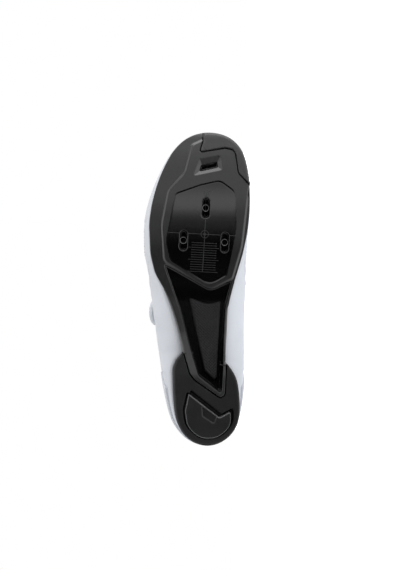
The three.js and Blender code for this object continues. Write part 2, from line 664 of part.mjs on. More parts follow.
function makeTongue() {
  const corner = (x, width, side, r) => ({
    point: new THREE.Vector2(x, spineAt(x) + (side * width) / 2),
    r,
  });
  const corners = [
    corner(TONGUE_TOP, TONGUE_WIDTH, -1, TONGUE_TOP_ROUND),
    corner(TONGUE_TIP, TONGUE_TIP_WIDTH, -1, TONGUE_TIP_ROUND),
    corner(TONGUE_TIP, TONGUE_TIP_WIDTH, 1, TONGUE_TIP_ROUND),
    corner(TONGUE_TOP, TONGUE_WIDTH, 1, TONGUE_TOP_ROUND),
  ];
  const outside = -WALL - GAP;
  return lastBody(outside)
    .subtract(lastBody(outside - TONGUE_THICKNESS))
    .intersect(upright(outline(corners), INSTEP_HEIGHT / 2, FAR));
}

const makeCounter = () =>
  lastBody(GAP + OVERLAY).subtract(lastBody(GAP)).intersect(sideZone(COUNTER));

// Closure

// The dial's seat: where the outer side's surface faces along the dial's axis.
const dialHalf = halfSection(DIAL_AT / LENGTH, -1);
const dialTilt = Math.tan(degToRad(DIAL_LEAN)) * ((dialHalf.ridge - dialHalf.widest) / dialHalf.reach);
const dialAngle = Math.atan(dialTilt ** (dialHalf.fullness / (2 * dialHalf.fullness - 2)));
const dialSeat = surfacePoint(dialHalf, dialAngle, 0);
const onDial = (piece) => piece.rotate([90 - DIAL_LEAN, 0, 0]).translate(dialSeat.toArray());

const makeDialBase = () =>
  onDial(cylinder(DIAL_BASE_DIAMETER / 2, -DIAL_BASE_DIAMETER / 2, DIAL_BASE, 2 * ROUND)).subtract(
    lastBody(GAP),
  );

function makeDialKnob() {
  const shape = new THREE.Shape();
  const count = 2 * DIAL_GRIPS;
  const points = Array.from({ length: count }, (_, i) => {
    const radius = DIAL_DIAMETER / 2 - DIAL_BEVEL - (i % 2) * DIAL_GRIP_DEPTH;
    return new THREE.Vector2(radius, 0).rotateAround(new THREE.Vector2(), (2 * Math.PI * i) / count);
  });
  shape.setFromPoints(points);
  const geometry = new THREE.ExtrudeGeometry(shape, {
    depth: DIAL_KNOB - 2 * DIAL_BEVEL,
    bevelThickness: DIAL_BEVEL,
    bevelSize: DIAL_BEVEL,
    bevelSegments: 1,
  });
  return onDial(solid(geometry.translate(0, 0, DIAL_BASE + GAP + DIAL_BEVEL)));
}

const guideEdge = THROAT_WIDTH / 2 + GUIDE_INSET;

function makeGuide({ at, side }) {
  const x = at * LENGTH;
  const corner = (along, from) => ({
    point: new THREE.Vector2(x + (along * GUIDE_LENGTH) / 2, spineAt(x) + side * from),
    r: GUIDE_ROUND,
  });
  const far = guideEdge + GUIDE_WIDTH;
  const corners = [corner(-1, guideEdge), corner(1, guideEdge), corner(1, far), corner(-1, far)];
  return lastBody(GAP + GUIDE_HEIGHT)
    .subtract(lastBody(GAP))
    .intersect(upright(outline(corners), INSTEP_HEIGHT / 2, FAR));
}

// A span of lace over the throat, from one side to the other.
function makeLace(from, to) {
  const points = Array.from({ length: LACE_STEPS + 1 }, (_, i) => {
    const share = i / LACE_STEPS;
    return crown(lerp(from.x, to.x, share), lerp(from.across, to.across, share), LACE_HEIGHT);
  });
  const section = new THREE.Shape();
  section.absarc(0, 0, LACE_DIAMETER / 2, 0, 2 * Math.PI);
  const options = {
    steps: LACE_STEPS,
    extrudePath: new THREE.CatmullRomCurve3(points),
    curveSegments: LACE_FACETS / 2,
  };
  return solid(new THREE.ExtrudeGeometry(section, options));
}

// Where the lace leaves the dial, then each guide's rear and front mouth, in the lace's order.
function laceStops() {
  const mouth = (guide, along) => ({
    x: guide.at * LENGTH + along * GUIDE_MOUTH,
    across: guide.side * (guideEdge - LACE_GAP),
  });
  const rimTop = (DIAL_BASE_DIAMETER / 2) * Math.sin(degToRad(DIAL_LEAN));
  const start = {
    x: DIAL_AT - GUIDE_MOUTH / 2,
    across: dialSeat.y - spineAt(DIAL_AT) + rimTop + DIAL_BASE,
  };
  return [start, ...GUIDES.flatMap((guide) => [mouth(guide, -1), mouth(guide, 1)])];
}

// Assembly

const pieces = [];
const keep = (name, finish, shape) => pieces.push({ name, ...FINISHES[finish], shape });

keep("sole_plate", "nylon", makePlate());
keep("toe_pad", "rubber", makeToePad());
keep("heel_pad", "rubber", makeHeelPad());
keep("heel_lift", "rubber", makeHeelLift());
keep("arch_inlay", "textured", makeInlay());
for (const spot of boltSpots) keep(`cleat_nut_${spot.name}`, "steel", atBolt(nut(), spot));
keep("upper", "white", makeUpper());
keep("heel_counter", "white", makeCounter());
keep("tongue", "lining", makeTongue());
keep("insole", "lining", makeInsole());
keep("dial_base", "closure", makeDialBase());
keep("dial_knob", "closure", makeDialKnob());
for (const guide of GUIDES) keep(`lace_guide_${guide.name}`, "closure", makeGuide(guide));
const stops = laceStops();
for (let i = 0; i < GUIDES.length; i += 1) {
  keep(`lace_span_${i + 1}`, "closure", makeLace(stops[2 * i], stops[2 * i + 1]));
}

// A solid as a three.js geometry.
function geometryOf(shape) {
  const mesh = shape.getMesh();
  const geometry = new THREE.BufferGeometry();
  geometry.setAttribute("position", new THREE.BufferAttribute(mesh.vertProperties, 3));
  geometry.setIndex(new THREE.BufferAttribute(mesh.triVerts, 1));
  const flat = geometry.toNonIndexed();
  flat.computeVertexNormals();
  return flat;
}

const meshes = pieces.map((piece) => {
  const material = new THREE.MeshStandardMaterial({
    name: piece.type,
    color: piece.color,
    roughness: piece.roughness,
    metalness: piece.metalness,
  });
  const mesh = new THREE.Mesh(geometryOf(piece.shape), material);
  mesh.name = piece.name;
  return mesh;
});

// The turn that lays the shoe on its inner side: of the flat faces of its hull on which it stays put
// under its own weight, the one that faces the inner side most.
function restingTurn() {
  const centre = new THREE.Vector3();
  const points = [];
  let mass = 0;
  meshes.forEach((mesh, i) => {
    const position = mesh.geometry.getAttribute("position");
    for (let k = 0; k < position.count; k += 3) {
      const [a, b, c] = [0, 1, 2].map((n) => new THREE.Vector3().fromBufferAttribute(position, k + n));
      const part = (pieces[i].density * a.dot(b.clone().cross(c))) / 6;
      mass += part;
      centre.addScaledVector(a.clone().add(b).add(c), part / 4);
      points.push(a, b, c);
    }
  });
  centre.divideScalar(mass);
  const steady = new ConvexHull().setFromPoints(points).faces.filter((face) => {
    const corners = [0, 1, 2].map((n) => face.getEdge(n).head().point);
    return corners.every((corner, n) => {
      const side = corners[(n + 1) % 3].clone().sub(corner);
      return side.cross(centre.clone().sub(corner)).dot(face.normal) >= 0;
    });
  });
  const down = steady.reduce((best, face) => (face.normal.y > best.normal.y ? face : best)).normal;
  const lay = new THREE.Matrix4().makeBasis(
    new THREE.Vector3(1, 0, 0),
    new THREE.Vector3(0, 0, -1),
    new THREE.Vector3(0, 1, 0),
  );
  const floor = new THREE.Vector3(0, 0, -1);
  const level = new THREE.Quaternion().setFromUnitVectors(down.clone().applyMatrix4(lay), floor);
  return new THREE.Matrix4().makeRotationFromQuaternion(level).multiply(lay);
}

const shoe = new THREE.Group();
shoe.name = "cycling_shoe";
const turn = restingTurn();
const bounds = new THREE.Box3();
for (const mesh of meshes) {
  mesh.geometry.applyMatrix4(turn);
  mesh.geometry.computeBoundingBox();
  bounds.union(mesh.geometry.boundingBox);
  shoe.add(mesh);
}
const middle = bounds.getCenter(new THREE.Vector3());
for (const mesh of meshes) mesh.geometry.translate(-middle.x, -middle.y, -bounds.min.z);

export default shoe;
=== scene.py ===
"""A road cycling shoe for the right foot, lying on its inner side with its sole facing the camera.

The shoe is worked out in its own frame, in millimetres: X runs from the heel to the toe, Y to the
wearer's inner side and Z up from the tread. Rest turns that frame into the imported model's frame.
"""

import json
import logging
import math
from collections.abc import Callable, Sequence
from dataclasses import dataclass, field, replace
from enum import Enum

import bmesh
import bpy
import numpy as np
from mathutils import Matrix, Vector

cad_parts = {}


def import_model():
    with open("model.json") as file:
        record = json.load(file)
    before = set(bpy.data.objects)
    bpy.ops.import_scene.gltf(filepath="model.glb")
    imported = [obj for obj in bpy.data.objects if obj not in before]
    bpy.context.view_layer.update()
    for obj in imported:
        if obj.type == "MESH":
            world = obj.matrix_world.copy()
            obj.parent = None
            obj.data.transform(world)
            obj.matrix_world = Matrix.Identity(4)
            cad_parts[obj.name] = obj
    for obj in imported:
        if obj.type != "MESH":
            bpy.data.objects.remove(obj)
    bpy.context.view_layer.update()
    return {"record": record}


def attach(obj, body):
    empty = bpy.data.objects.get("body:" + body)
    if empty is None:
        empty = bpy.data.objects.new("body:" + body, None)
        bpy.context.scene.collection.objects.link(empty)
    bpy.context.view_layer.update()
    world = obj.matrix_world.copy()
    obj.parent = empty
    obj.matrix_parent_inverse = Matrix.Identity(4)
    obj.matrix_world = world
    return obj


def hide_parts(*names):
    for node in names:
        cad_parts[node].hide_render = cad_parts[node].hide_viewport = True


log = logging.getLogger("cycling_shoe")
Array = np.ndarray
Socket = bpy.types.NodeSocket
Colour = Sequence[float]
Height = Callable[[Array], Array]
Marks = Callable[[Array], dict[str, Array]]

LENGTH = 276.0
BALL_WIDTH = 95.0
INSTEP = 100.0
SOLE_RISE = 30.0
COLLAR = 80.0
SPINE_HEEL = 0.123
SPINE_TOE = 0.855
FEATHER = 0.8
UNDER_FULLNESS = 1.4
QUARTER = math.pi / 2
TREAD_WINDOW = 20.0
WELD = 1e-6
THIN = 2e-3
TINY = 1e-9

# The middles of the record's two flat faces, in the shoe's frame.
CLEAT_SEAT = np.array([193.0, 3.0, 0.8])
HEEL_TREAD = np.array([40.0, -7.0, -0.5])

# The outline from below, as shares of BALL_WIDTH: the upper's inner and outer side, its ridge, and
# the sole's reach from the ridge as a share of the upper's.
PLAN_COLUMNS = ("at", "medial", "lateral", "spine", "foot_medial", "foot_lateral")
PLAN = (
    (0, 0.07, 0.07, 0.063, 0.985, 0.985),
    (0.035, 0.286, -0.15, 0.063, 0.975, 0.975),
    (0.085, 0.373, -0.243, 0.063, 0.935, 0.93),
    (0.15, 0.41, -0.293, 0.062, 0.857, 0.87),
    (0.212, 0.426, -0.325, 0.058, 0.75, 0.815),
    (0.243, 0.43, -0.336, 0.054, 0.627, 0.79),
    (0.272, 0.433, -0.347, 0.05, 0.475, 0.7),
    (0.303, 0.437, -0.36, 0.046, 0.49, 0.52),
    (0.37, 0.44, -0.385, 0.04, 0.527, 0.577),
    (0.435, 0.446, -0.414, 0.034, 0.55, 0.66),
    (0.497, 0.453, -0.439, 0.032, 0.633, 0.775),
    (0.56, 0.463, -0.471, 0.032, 0.735, 0.908),
    (0.623, 0.471, -0.501, 0.032, 0.832, 0.93),
    (0.687, 0.484, -0.502, 0.04, 0.885, 0.944),
    (0.75, 0.494, -0.475, 0.05, 0.904, 0.962),
    (0.813, 0.49, -0.425, 0.066, 0.914, 0.97),
    (0.876, 0.458, -0.347, 0.074, 0.955, 0.985),
    (0.94, 0.394, -0.237, 0.074, 0.995, 0.995),
    (0.978, 0.301, -0.119, 0.074, 1, 1),
    (1, 0.092, 0.092, 0.074, 1, 1),
)

# The side view. Tread, hollow, deck and bed are shares of SOLE_RISE, widest and ridge of INSTEP, and
# full is the section's exponent.
RISE_COLUMNS = ("at", "tread", "hollow", "deck", "bed", "widest", "ridge", "full")
RISE = (
    (0, 0.36, 0.32, 0.5, 0.74, 0.3, 1.1, 2.2),
    (0.035, 0.1, 0.32, 0.48, 0.73, 0.3, 1.1, 2.2),
    (0.08, 0, 0.32, 0.46, 0.72, 0.3, 1.12, 2.2),
    (0.22, 0, 0.33, 0.47, 0.71, 0.31, 1.2, 2.2),
    (0.28, 0.12, 0.4, 0.53, 0.7, 0.34, 1.2, 2.2),
    (0.37, 0.32, 0.46, 0.58, 0.67, 0.38, 1.08, 2.15),
    (0.46, 0.33, 0.46, 0.56, 0.61, 0.4, 0.95, 2.1),
    (0.55, 0.17, 0.29, 0.41, 0.5, 0.4, 0.82, 2.1),
    (0.64, 0, 0.1, 0.29, 0.4, 0.4, 0.71, 2.15),
    (0.76, 0, 0.1, 0.29, 0.38, 0.395, 0.62, 2.2),
    (0.83, 0.1, 0.2, 0.34, 0.44, 0.37, 0.565, 2.25),
    (0.9, 0.28, 0.38, 0.48, 0.6, 0.35, 0.52, 2.3),
    (0.96, 0.5, 0.6, 0.7, 0.81, 0.355, 0.5, 2.3),
    (1, 0.72, 0.82, 0.9, 1, 0.375, 0.5, 2.3),
)


def turn_of(at: Array) -> Array:
    """Share of LENGTH as the even turn that bunches up at both ends: acos(1 - 2 at) / pi."""
    return np.arccos(1 - 2 * np.clip(at, 0, 1)) / math.pi


def smoothstep(value: Array, low: float, high: float) -> Array:
    """Goes smoothly from 0 at low to 1 at high."""
    t = np.clip((np.asarray(value, float) - low) / (high - low), 0, 1)
    return t * t * (3 - 2 * t)


def soft_step(value: Array, soft: float = 0.8) -> Array:
    """Goes smoothly from 0 to 1 where the value passes 0."""
    return smoothstep(value, -soft, soft)


def bell(value: Array, middle: float, width: float, power: int = 2) -> Array:
    """A bump of height 1: exp(-((value - middle) / width) ^ power)."""
    return np.exp(-(((value - middle) / width) ** power))


def mix(first: Array, second: Array, share: Array) -> Array:
    """Goes from first to second as the share goes from 0 to 1."""
    return first + (second - first) * share


def unit(vectors: Array) -> Array:
    """Vectors along the last axis, made one long."""
    return vectors / np.maximum(np.linalg.norm(vectors, axis=-1, keepdims=True), TINY)


def square_to(vectors: Array, away: Array) -> Array:
    """Vectors less what runs along the unit vectors in away, made one long."""
    return unit(vectors - away * np.einsum("...i,...i->...", vectors, away)[..., None])


def run_along(path: Array) -> Array:
    """Distance from a path's start at each of its points."""
    return np.concatenate([[0], np.cumsum(np.linalg.norm(np.diff(path, axis=0), axis=1))])


def resample(rows: Array, run: Array, wanted: Array) -> Array:
    """Rows of numbers at the wanted runs, in straight steps between the given ones."""
    return np.stack([np.interp(wanted, run, column) for column in rows.T], -1)


def raised(flat: Array, height: Array) -> Array:
    """Flat points at their heights."""
    return np.concatenate([flat, height[..., None]], -1)


def spread(halves: Sequence[Array]) -> Array:
    """The inner and outer half's rows as one, from the outer edge over the spine to the inner edge."""
    return np.concatenate([halves[1][:, ::-1], halves[0][:, 1:]], 1)


def touched(marked: Array) -> Array:
    """Cells of a grid with at least one marked corner."""
    return marked[1:, 1:] | marked[:-1, 1:] | marked[1:, :-1] | marked[:-1, :-1]


def round_corners(back: Array, point: Array, ahead: Array, cut: Array, arc: int) -> Array:
    """Each corner as a quadratic curve that starts and ends a cut away from it.

    Args:
        back: from each corner to the one before it.
        point: the corners.
        ahead: from each corner to the next one.
        cut: how far from each corner its curve starts and ends, as a column.
        arc: steps in a curve.

    Returns:
        The curves' points, one after the other.
    """
    start, end = point + unit(back) * cut, point + unit(ahead) * cut
    t = np.linspace(0, 1, arc + 1)[None, :, None]
    curve = start[:, None] * (1 - t) ** 2 + point[:, None] * 2 * t * (1 - t) + end[:, None] * t * t
    return curve.reshape(-1, 2)


class Column:
    """One column of a table as a smooth function of the share of LENGTH.

    The curve is a cubic between rows, in the even turn, with Fritsch and Carlson's slopes, so it never
    overshoots a row.
    """

    def __init__(self, table: Sequence[Sequence[float]], index: int) -> None:
        """Works out the slopes at the rows.

        Args:
            table: rows whose first entry is the share of LENGTH.
            index: the column to follow.
        """
        rows = np.array(table, float)
        self.turn, self.value = turn_of(rows[:, 0]), rows[:, index]
        step, rise = np.diff(self.turn), np.diff(self.value)
        rate = rise / step
        before, after = 2 * step[1:] + step[:-1], step[1:] + 2 * step[:-1]
        same = rate[:-1] * rate[1:] > 0
        safe = np.where(same, rate[:-1], 1.0), np.where(same, rate[1:], 1.0)
        middle = (before + after) / (before / safe[0] + after / safe[1])
        self.slope = np.concatenate([rate[:1], np.where(same, middle, 0), rate[-1:]])

    def __call__(self, at: Array) -> Array:
        """Value at a share of LENGTH.

        Args:
            at: shares of LENGTH.

        Returns:
            The column's values there.
        """
        turn = turn_of(at)
        i = np.clip(np.searchsorted(self.turn, turn, side="left") - 1, 0, len(self.turn) - 2)
        h = self.turn[i + 1] - self.turn[i]
        s = (turn - self.turn[i]) / h
        start = self.value[i] * (1 + 2 * s) + self.slope[i] * h * s
        end = self.value[i + 1] * (3 - 2 * s) + self.slope[i + 1] * h * (s - 1)
        return start * (1 - s) ** 2 + end * s * s


class Side(Enum):
    """The two halves of the shoe; the value is the sign of Y."""

    MEDIAL = 1
    LATERAL = -1


@dataclass
class Half:
    """Half sections of the last at many stations: spine point, direction, reach and section values."""

    hub: Array
    direction: Array
    reach: Array
    foot: Array
    widest: Array
    ridge: Array
    full: Array

    def flat(self, radius: Array) -> Array:
        """Flat points at a radius from the spine."""
        return self.hub + self.direction * radius[..., None]

    def place(self, radius: Array, height: Array) -> Array:
        """Points at a radius from the spine and a height over the tread."""
        return raised(self.flat(radius), np.broadcast_to(height, radius.shape))

    def wide(self) -> "Half":
        """The half sections with an axis for the points of each."""
        return Half(*(np.expand_dims(v, 1) for v in vars(self).values()))


class Last:
    """The foot's form that every piece of the shoe is worked out from."""

    def __init__(self) -> None:
        """Turns the two tables into smooth columns."""
        self.plan = {name: Column(PLAN, i) for i, name in enumerate(PLAN_COLUMNS)}
        self.rise = {name: Column(RISE, i) for i, name in enumerate(RISE_COLUMNS)}

    def tread(self, x: Array) -> Array:
        """Height of the sole's underside.

        Ahead of the arch it is the column's mean over a short window with weights like a bell, so that
        reflections run on smoothly where the rocker starts. The window closes up towards the toe tip.

        Args:
            x: distances from the heel.

        Returns:
            The heights.
        """
        reach = np.minimum(TREAD_WINDOW * smoothstep(x, 112, 150), 0.8 * np.maximum(LENGTH - x, 0))
        steps = np.linspace(-1, 1, 9)
        weights = 1 + np.cos(math.pi * steps * 0.9)
        weights /= weights.sum()
        total = sum(w * self.rise["tread"]((x + k * reach) / LENGTH) for k, w in zip(steps, weights))
        return SOLE_RISE * total

    def hollow(self, x: Array) -> Array:
        """Height of the floor of the hollow under the arch."""
        return SOLE_RISE * self.rise["hollow"](x / LENGTH)

    def deck(self, x: Array) -> Array:
        """Height of the dished top of the plate."""
        return SOLE_RISE * self.rise["deck"](x / LENGTH)

    def bed(self, x: Array) -> Array:
        """Height of the sole's top edge."""
        return SOLE_RISE * self.rise["bed"](x / LENGTH)

    def spine(self, x: Array) -> Array:
        """Place of the ridge across the shoe."""
        return BALL_WIDTH * self.plan["spine"](x / LENGTH)

    def half(self, at: Array, side: Side) -> Half:
        """Half sections at stations.

        Args:
            at: shares of LENGTH.
            side: which half.

        Returns:
            The half sections. They turn about the spine's two ends at the heel and the toe.
        """
        at = np.asarray(at, float)
        middle = np.clip(at, SPINE_HEEL, SPINE_TOE)
        hub = np.stack([middle * LENGTH, self.plan["spine"](middle) * BALL_WIDTH], -1)
        name = side.name.lower()
        edge = np.stack([at * LENGTH, self.plan[name](at) * BALL_WIDTH], -1) - hub
        reach = np.linalg.norm(edge, axis=-1)
        return Half(
            hub=hub,
            direction=edge / reach[..., None],
            reach=reach,
            foot=reach * self.plan["foot_" + name](at),
            widest=self.rise["widest"](at) * INSTEP,
            ridge=self.rise["ridge"](middle) * INSTEP,
            full=self.rise["full"](middle),
        )

    def foot_line(self, half: Half, grow: Array) -> tuple[Array, Array]:
        """Radius and height of the upper's lower edge, moved out by grow."""
        feather = np.minimum(half.foot - FEATHER, half.reach) + grow
        return feather, self.bed(half.flat(feather)[..., 0]) - grow

    def surface(self, half: Half, angle: Array, grow: Array) -> Array:
        """Points of the upper's surface.

        Over the widest line the section is a superellipse, and under it a slanted curve in to the
        sole's edge.

        Args:
            half: half sections, broadcast against angle.
            angle: 0 at the widest line, a quarter turn at the ridge, minus a quarter turn at the sole.
            grow: how far the surface is moved out, in mm.

        Returns:
            The points, with a last axis of three.
        """
        angle, grow = np.broadcast_arrays(np.asarray(angle, float), np.asarray(grow, float))
        up = np.clip(angle, 0, QUARTER)
        power = 2 / half.full
        reach = half.reach + grow
        over = half.place(
            reach * np.clip(np.cos(up), 0, 1) ** power,
            half.widest + (half.ridge + grow - half.widest) * np.sin(up) ** power,
        )
        down = np.clip(-angle, 0, QUARTER)
        feather, floor = self.foot_line(half, grow)
        power = 2 / UNDER_FULLNESS
        inward = np.clip(np.cos(down), 0, 1) ** power
        beneath = half.place(
            feather + (reach - feather) * inward,
            floor + (half.widest - floor) * (1 - np.sin(down) ** power),
        )
        return np.where((angle >= 0)[..., None], over, beneath)

    def angle_at_across(self, half: Half, distance: Array) -> Array:
        """Angle at which the surface over the widest line is a distance from the spine."""
        return np.arccos(np.clip(distance / half.reach, 0, 1) ** (half.full / 2))

    def angle_at_height(self, half: Half, height: Array) -> Array:
        """Angle at which the surface has a height over the tread, over or under the widest line.

        Args:
            half: half sections.
            height: heights over the tread.

        Returns:
            The angles.
        """
        share = np.clip((height - half.widest) / (half.ridge - half.widest), 0, 1)
        floor = self.foot_line(half, 0.0)[1]
        sunk = np.clip((half.widest - height) / (half.widest - floor), 0, 1)
        return np.arcsin(share ** (half.full / 2)) - np.arcsin(sunk ** (UNDER_FULLNESS / 2))

    def crown(self, x: Array, across: Array, grow: float) -> Array:
        """Points on top of the shoe at a distance across from the spine, as the lace lies.

        Args:
            x: distances from the heel.
            across: signed distances from the spine.
            grow: how far over the surface.

        Returns:
            The points.
        """
        x, across = np.broadcast_arrays(np.asarray(x, float), np.asarray(across, float))
        inner, outer = self.half(x / LENGTH, Side.MEDIAL), self.half(x / LENGTH, Side.LATERAL)
        reach = np.where(across >= 0, inner.reach, outer.reach) + grow
        share = np.clip(np.abs(across) / reach, 0, 1)
        height = (1 - share**inner.full) ** (1 / inner.full)
        z = inner.widest + (inner.ridge + grow - inner.widest) * height
        return np.stack([x, inner.hub[..., 1] + across, z], -1)


@dataclass
class Rest:
    """Where the shoe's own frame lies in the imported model's frame."""

    origin: Array
    axes: Array

    @classmethod
    def from_record(cls, record: dict) -> "Rest":
        """Reads the turn from the record's two flat faces, whose places in the shoe are known.

        Args:
            record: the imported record.

        Returns:
            The frame: an origin in metres and the three axes as rows.
        """
        mounts = {m["name"]: m for m in record["mounts"]}
        cleat, heel = (np.array(mounts[name]["pos_m"], float) for name in ("cleat_seat", "heel_tread"))
        up = -unit(np.array(mounts["cleat_seat"]["axis"], float))
        run = cleat - heel
        run -= up * (run @ up)
        along, side = (CLEAT_SEAT - HEEL_TREAD)[:2]
        toe = unit(along * run - side * np.cross(up, run))
        axes = np.stack([toe, np.cross(up, toe), up])
        return cls(cleat - CLEAT_SEAT / 1000 @ axes, axes)

    def points(self, shoe: Array) -> Array:
        """Points of the shoe's frame in mm, as points of the model's frame in metres."""
        return self.origin + np.asarray(shoe, float) / 1000 @ self.axes


# Outlines on the underside, corner by corner: share of LENGTH from the heel, share of BALL_WIDTH from
# the long axis, and the corner's radius in millimetres.
CLEAT_PANEL = (
    (0.8, -0.24, 6), (0.829, -0.005, 12), (0.844, 0.18, 9), (0.808, 0.32, 9), (0.69, 0.33, 40),
    (0.54, 0.245, 5), (0.507, 0.085, 14), (0.588, -0.285, 9), (0.65, -0.325, 20),
)  # fmt: skip
PLATFORM = (
    (1.1, 0.03, 0), (0.977, 0.03, 1), (0.96, -0.075, 5), (0.868, -0.15, 14), (0.81, -0.305, 14),
    (0.7, -0.368, 40), (0.585, -0.345, 9), (0.49, 0.08, 9), (0.53, 0.305, 4), (0.63, 0.385, 40),
    (0.822, 0.45, 0), (1.1, 0.45, 0),
)  # fmt: skip
ARCH = (
    (0.582, -0.344, 2), (0.525, -0.285, 20), (0.434, -0.19, 40), (0.3, -0.09, 12), (0.226, -0.026, 8),
    (0.172, 0.175, 2), (0.18, 0.195, 2), (0.434, 0.236, 20), (0.53, 0.305, 2), (0.497, 0.1, 9),
)  # fmt: skip
INLAY = (
    (0.473, -0.1, 2), (0.449, 0.07, 20), (0.461, 0.194, 1), (0.22, 0.155, 3), (0.211, 0.128, 3),
    (0.24, 0.04, 6),
)  # fmt: skip
TOE_PAD = (
    (1.2, 0.035, 0), (0.973, 0.035, 1), (0.932, -0.004, 2), (0.947, 0.235, 5), (0.94, 0.325, 6),
    (0.865, 0.35, 6), (0.8, 0.52, 0), (1.2, 0.8, 0),
)  # fmt: skip
VENT = ((0.854, -0.072, 2), (0.912, -0.004, 3), (0.926, 0.195, 4), (0.875, 0.207, 3))
VENT_MOUTH = ((0.871, -0.006, 0.5), (0.89, 0.01, 0.5), (0.902, 0.168, 0.5), (0.884, 0.162, 0.5))
PLATE_TAIL = (
    (0.31, -0.6, 0), (0.302, -0.158, 2), (0.233, -0.104, 6), (0.213, -0.058, 6), (0.155, 0.18, 4),
    (0.167, 0.222, 4), (0.268, 0.236, 2), (0.268, 0.6, 0), (0.6, 0.6, 0), (0.6, -0.6, 0),
)  # fmt: skip
HEEL_LIFT = (
    (0.172, -0.115, 1), (0.116, -0.15, 10), (0.068, -0.132, 19), (0.027, -0.012, 19),
    (0.027, 0.159, 19), (0.068, 0.279, 19), (0.116, 0.275, 2), (0.0955, 0.17, 2),
)  # fmt: skip
LIFT_HOLLOW = ((0.134, 0.005, 1), (0.1, 0.008, 2), (0.074, 0.12, 2), (0.1, 0.148, 1))

# The lines of the cleat panel's cross, start and end, in the cleat pattern's frame and in mm.
CROSS_MIDDLE = (6.1, 0.0)
CROSS = (
    ((-26.4, 0.0), (44.0, 0.0)), ((6.1, -32.0), (6.1, -21.5)), ((6.1, 21.5), (6.1, 28.0)),
    ((6.1, -14.0), (6.1, 14.0)),
)  # fmt: skip


class Outline:
    """A closed outline with rounded corners, and the signed distance from it."""

    def __init__(self, corners: Sequence[Sequence[float]], scale: Sequence[float], arc: int = 7) -> None:
        """Rounds each corner with a quadratic curve that starts and ends r / tan(half angle) away.

        Args:
            corners: two coordinates as shares, and a radius in mm, for each corner.
            scale: what a share of one is in mm, for each coordinate.
            arc: steps in a rounded corner.
        """
        rows = np.array(corners, float)
        point, radius = rows[:, :2] * np.array(scale, float), rows[:, 2]
        back, ahead = np.roll(point, 1, 0) - point, np.roll(point, -1, 0) - point
        lengths = np.linalg.norm(back, axis=1), np.linalg.norm(ahead, axis=1)
        cosine = np.einsum("ij,ij->i", back, ahead) / (lengths[0] * lengths[1])
        half = np.arccos(np.clip(cosine, -1, 1)) / 2
        cut = np.minimum(radius / np.tan(half), np.minimum(*lengths) / 2.1)
        curve = round_corners(back, point, ahead, cut[:, None], arc)
        self.points = curve[np.linalg.norm(curve - np.roll(curve, 1, 0), axis=1) > WELD]

    def distance(self, flat: Array) -> Array:
        """Signed distance to the outline: the nearest edge's distance, negative inside.

        Args:
            flat: points, with a last axis of two.

        Returns:
            The distances in mm.
        """
        shape = flat.shape[:-1]
        points = flat.reshape(-1, 2)
        a, b = self.points, np.roll(self.points, -1, 0)
        run = b - a
        square = (run**2).sum(1)
        result = np.empty(len(points))
        for part in np.array_split(np.arange(len(points)), max(1, len(points) // 8000)):
            away = points[part, None] - a[None]
            share = np.clip((away * run).sum(-1) / square, 0, 1)
            near = np.sqrt(((away - share[..., None] * run) ** 2).sum(-1)).min(1)
            low = a[None, :, 1] > points[part, 1:2]
            high = b[None, :, 1] > points[part, 1:2]
            with np.errstate(divide="ignore", invalid="ignore"):
                cross = a[:, 0] + run[:, 0] * (points[part, 1:2] - a[:, 1]) / run[:, 1]
            inside = ((low != high) & (points[part, :1] < cross)).sum(1) % 2
            result[part] = np.where(inside == 1, -near, near)
        return result.reshape(shape)

    def sloped(self, flat: Array, wall: float) -> Array:
        """0 at the outline and outside it, rising evenly to 1 at a distance inside it."""
        return np.clip(-self.distance(flat) / wall, 0, 1)

    def inside(self, flat: Array, wall: float, grow: float = 0.0) -> Array:
        """1 well inside the outline and 0 outside, with a smooth wall just inside the edge."""
        return 1 - smoothstep(self.distance(flat), grow - wall, grow)


def below(corners: Sequence[Sequence[float]]) -> Outline:
    """An outline seen from below."""
    return Outline(corners, (LENGTH, BALL_WIDTH))


def beside(corners: Sequence[Sequence[float]]) -> Outline:
    """An outline seen from the side."""
    return Outline(corners, (LENGTH, COLLAR))


def level(height: float) -> Height:
    """A surface at one height."""
    return lambda flat: np.full(flat.shape[:-1], height)


def grid_faces(rows: int, columns: int) -> Array:
    """Four corners of every cell of a grid, as indices row by row.

    Args:
        rows: points along the first axis.
        columns: points along the second axis.

    Returns:
        One row of four indices for each cell.
    """
    i, k = np.meshgrid(np.arange(rows - 1), np.arange(columns - 1), indexing="ij")
    first = i * columns + k
    return np.stack([first, first + 1, first + columns + 1, first + columns], -1).reshape(-1, 4)


def link(name: str, data: bpy.types.ID) -> bpy.types.Object:
    """Puts a new object with the data into the scene.

    Args:
        name: the object's name.
        data: its mesh or camera.

    Returns:
        The object.
    """
    made = bpy.data.objects.new(name, data)
    bpy.context.scene.collection.objects.link(made)
    return made


def weld(mesh: bpy.types.Mesh) -> None:
    """Makes points that coincide one, drops cells that shrink to a line, and loose points and edges.

    Args:
        mesh: the mesh, changed in place.
    """
    form = bmesh.new()
    form.from_mesh(mesh)
    bmesh.ops.remove_doubles(form, verts=form.verts, dist=WELD)
    bmesh.ops.delete(form, geom=[e for e in form.edges if not e.link_faces], context="EDGES")
    bmesh.ops.delete(form, geom=[v for v in form.verts if not v.link_faces], context="VERTS")
    form.to_mesh(mesh)
    form.free()


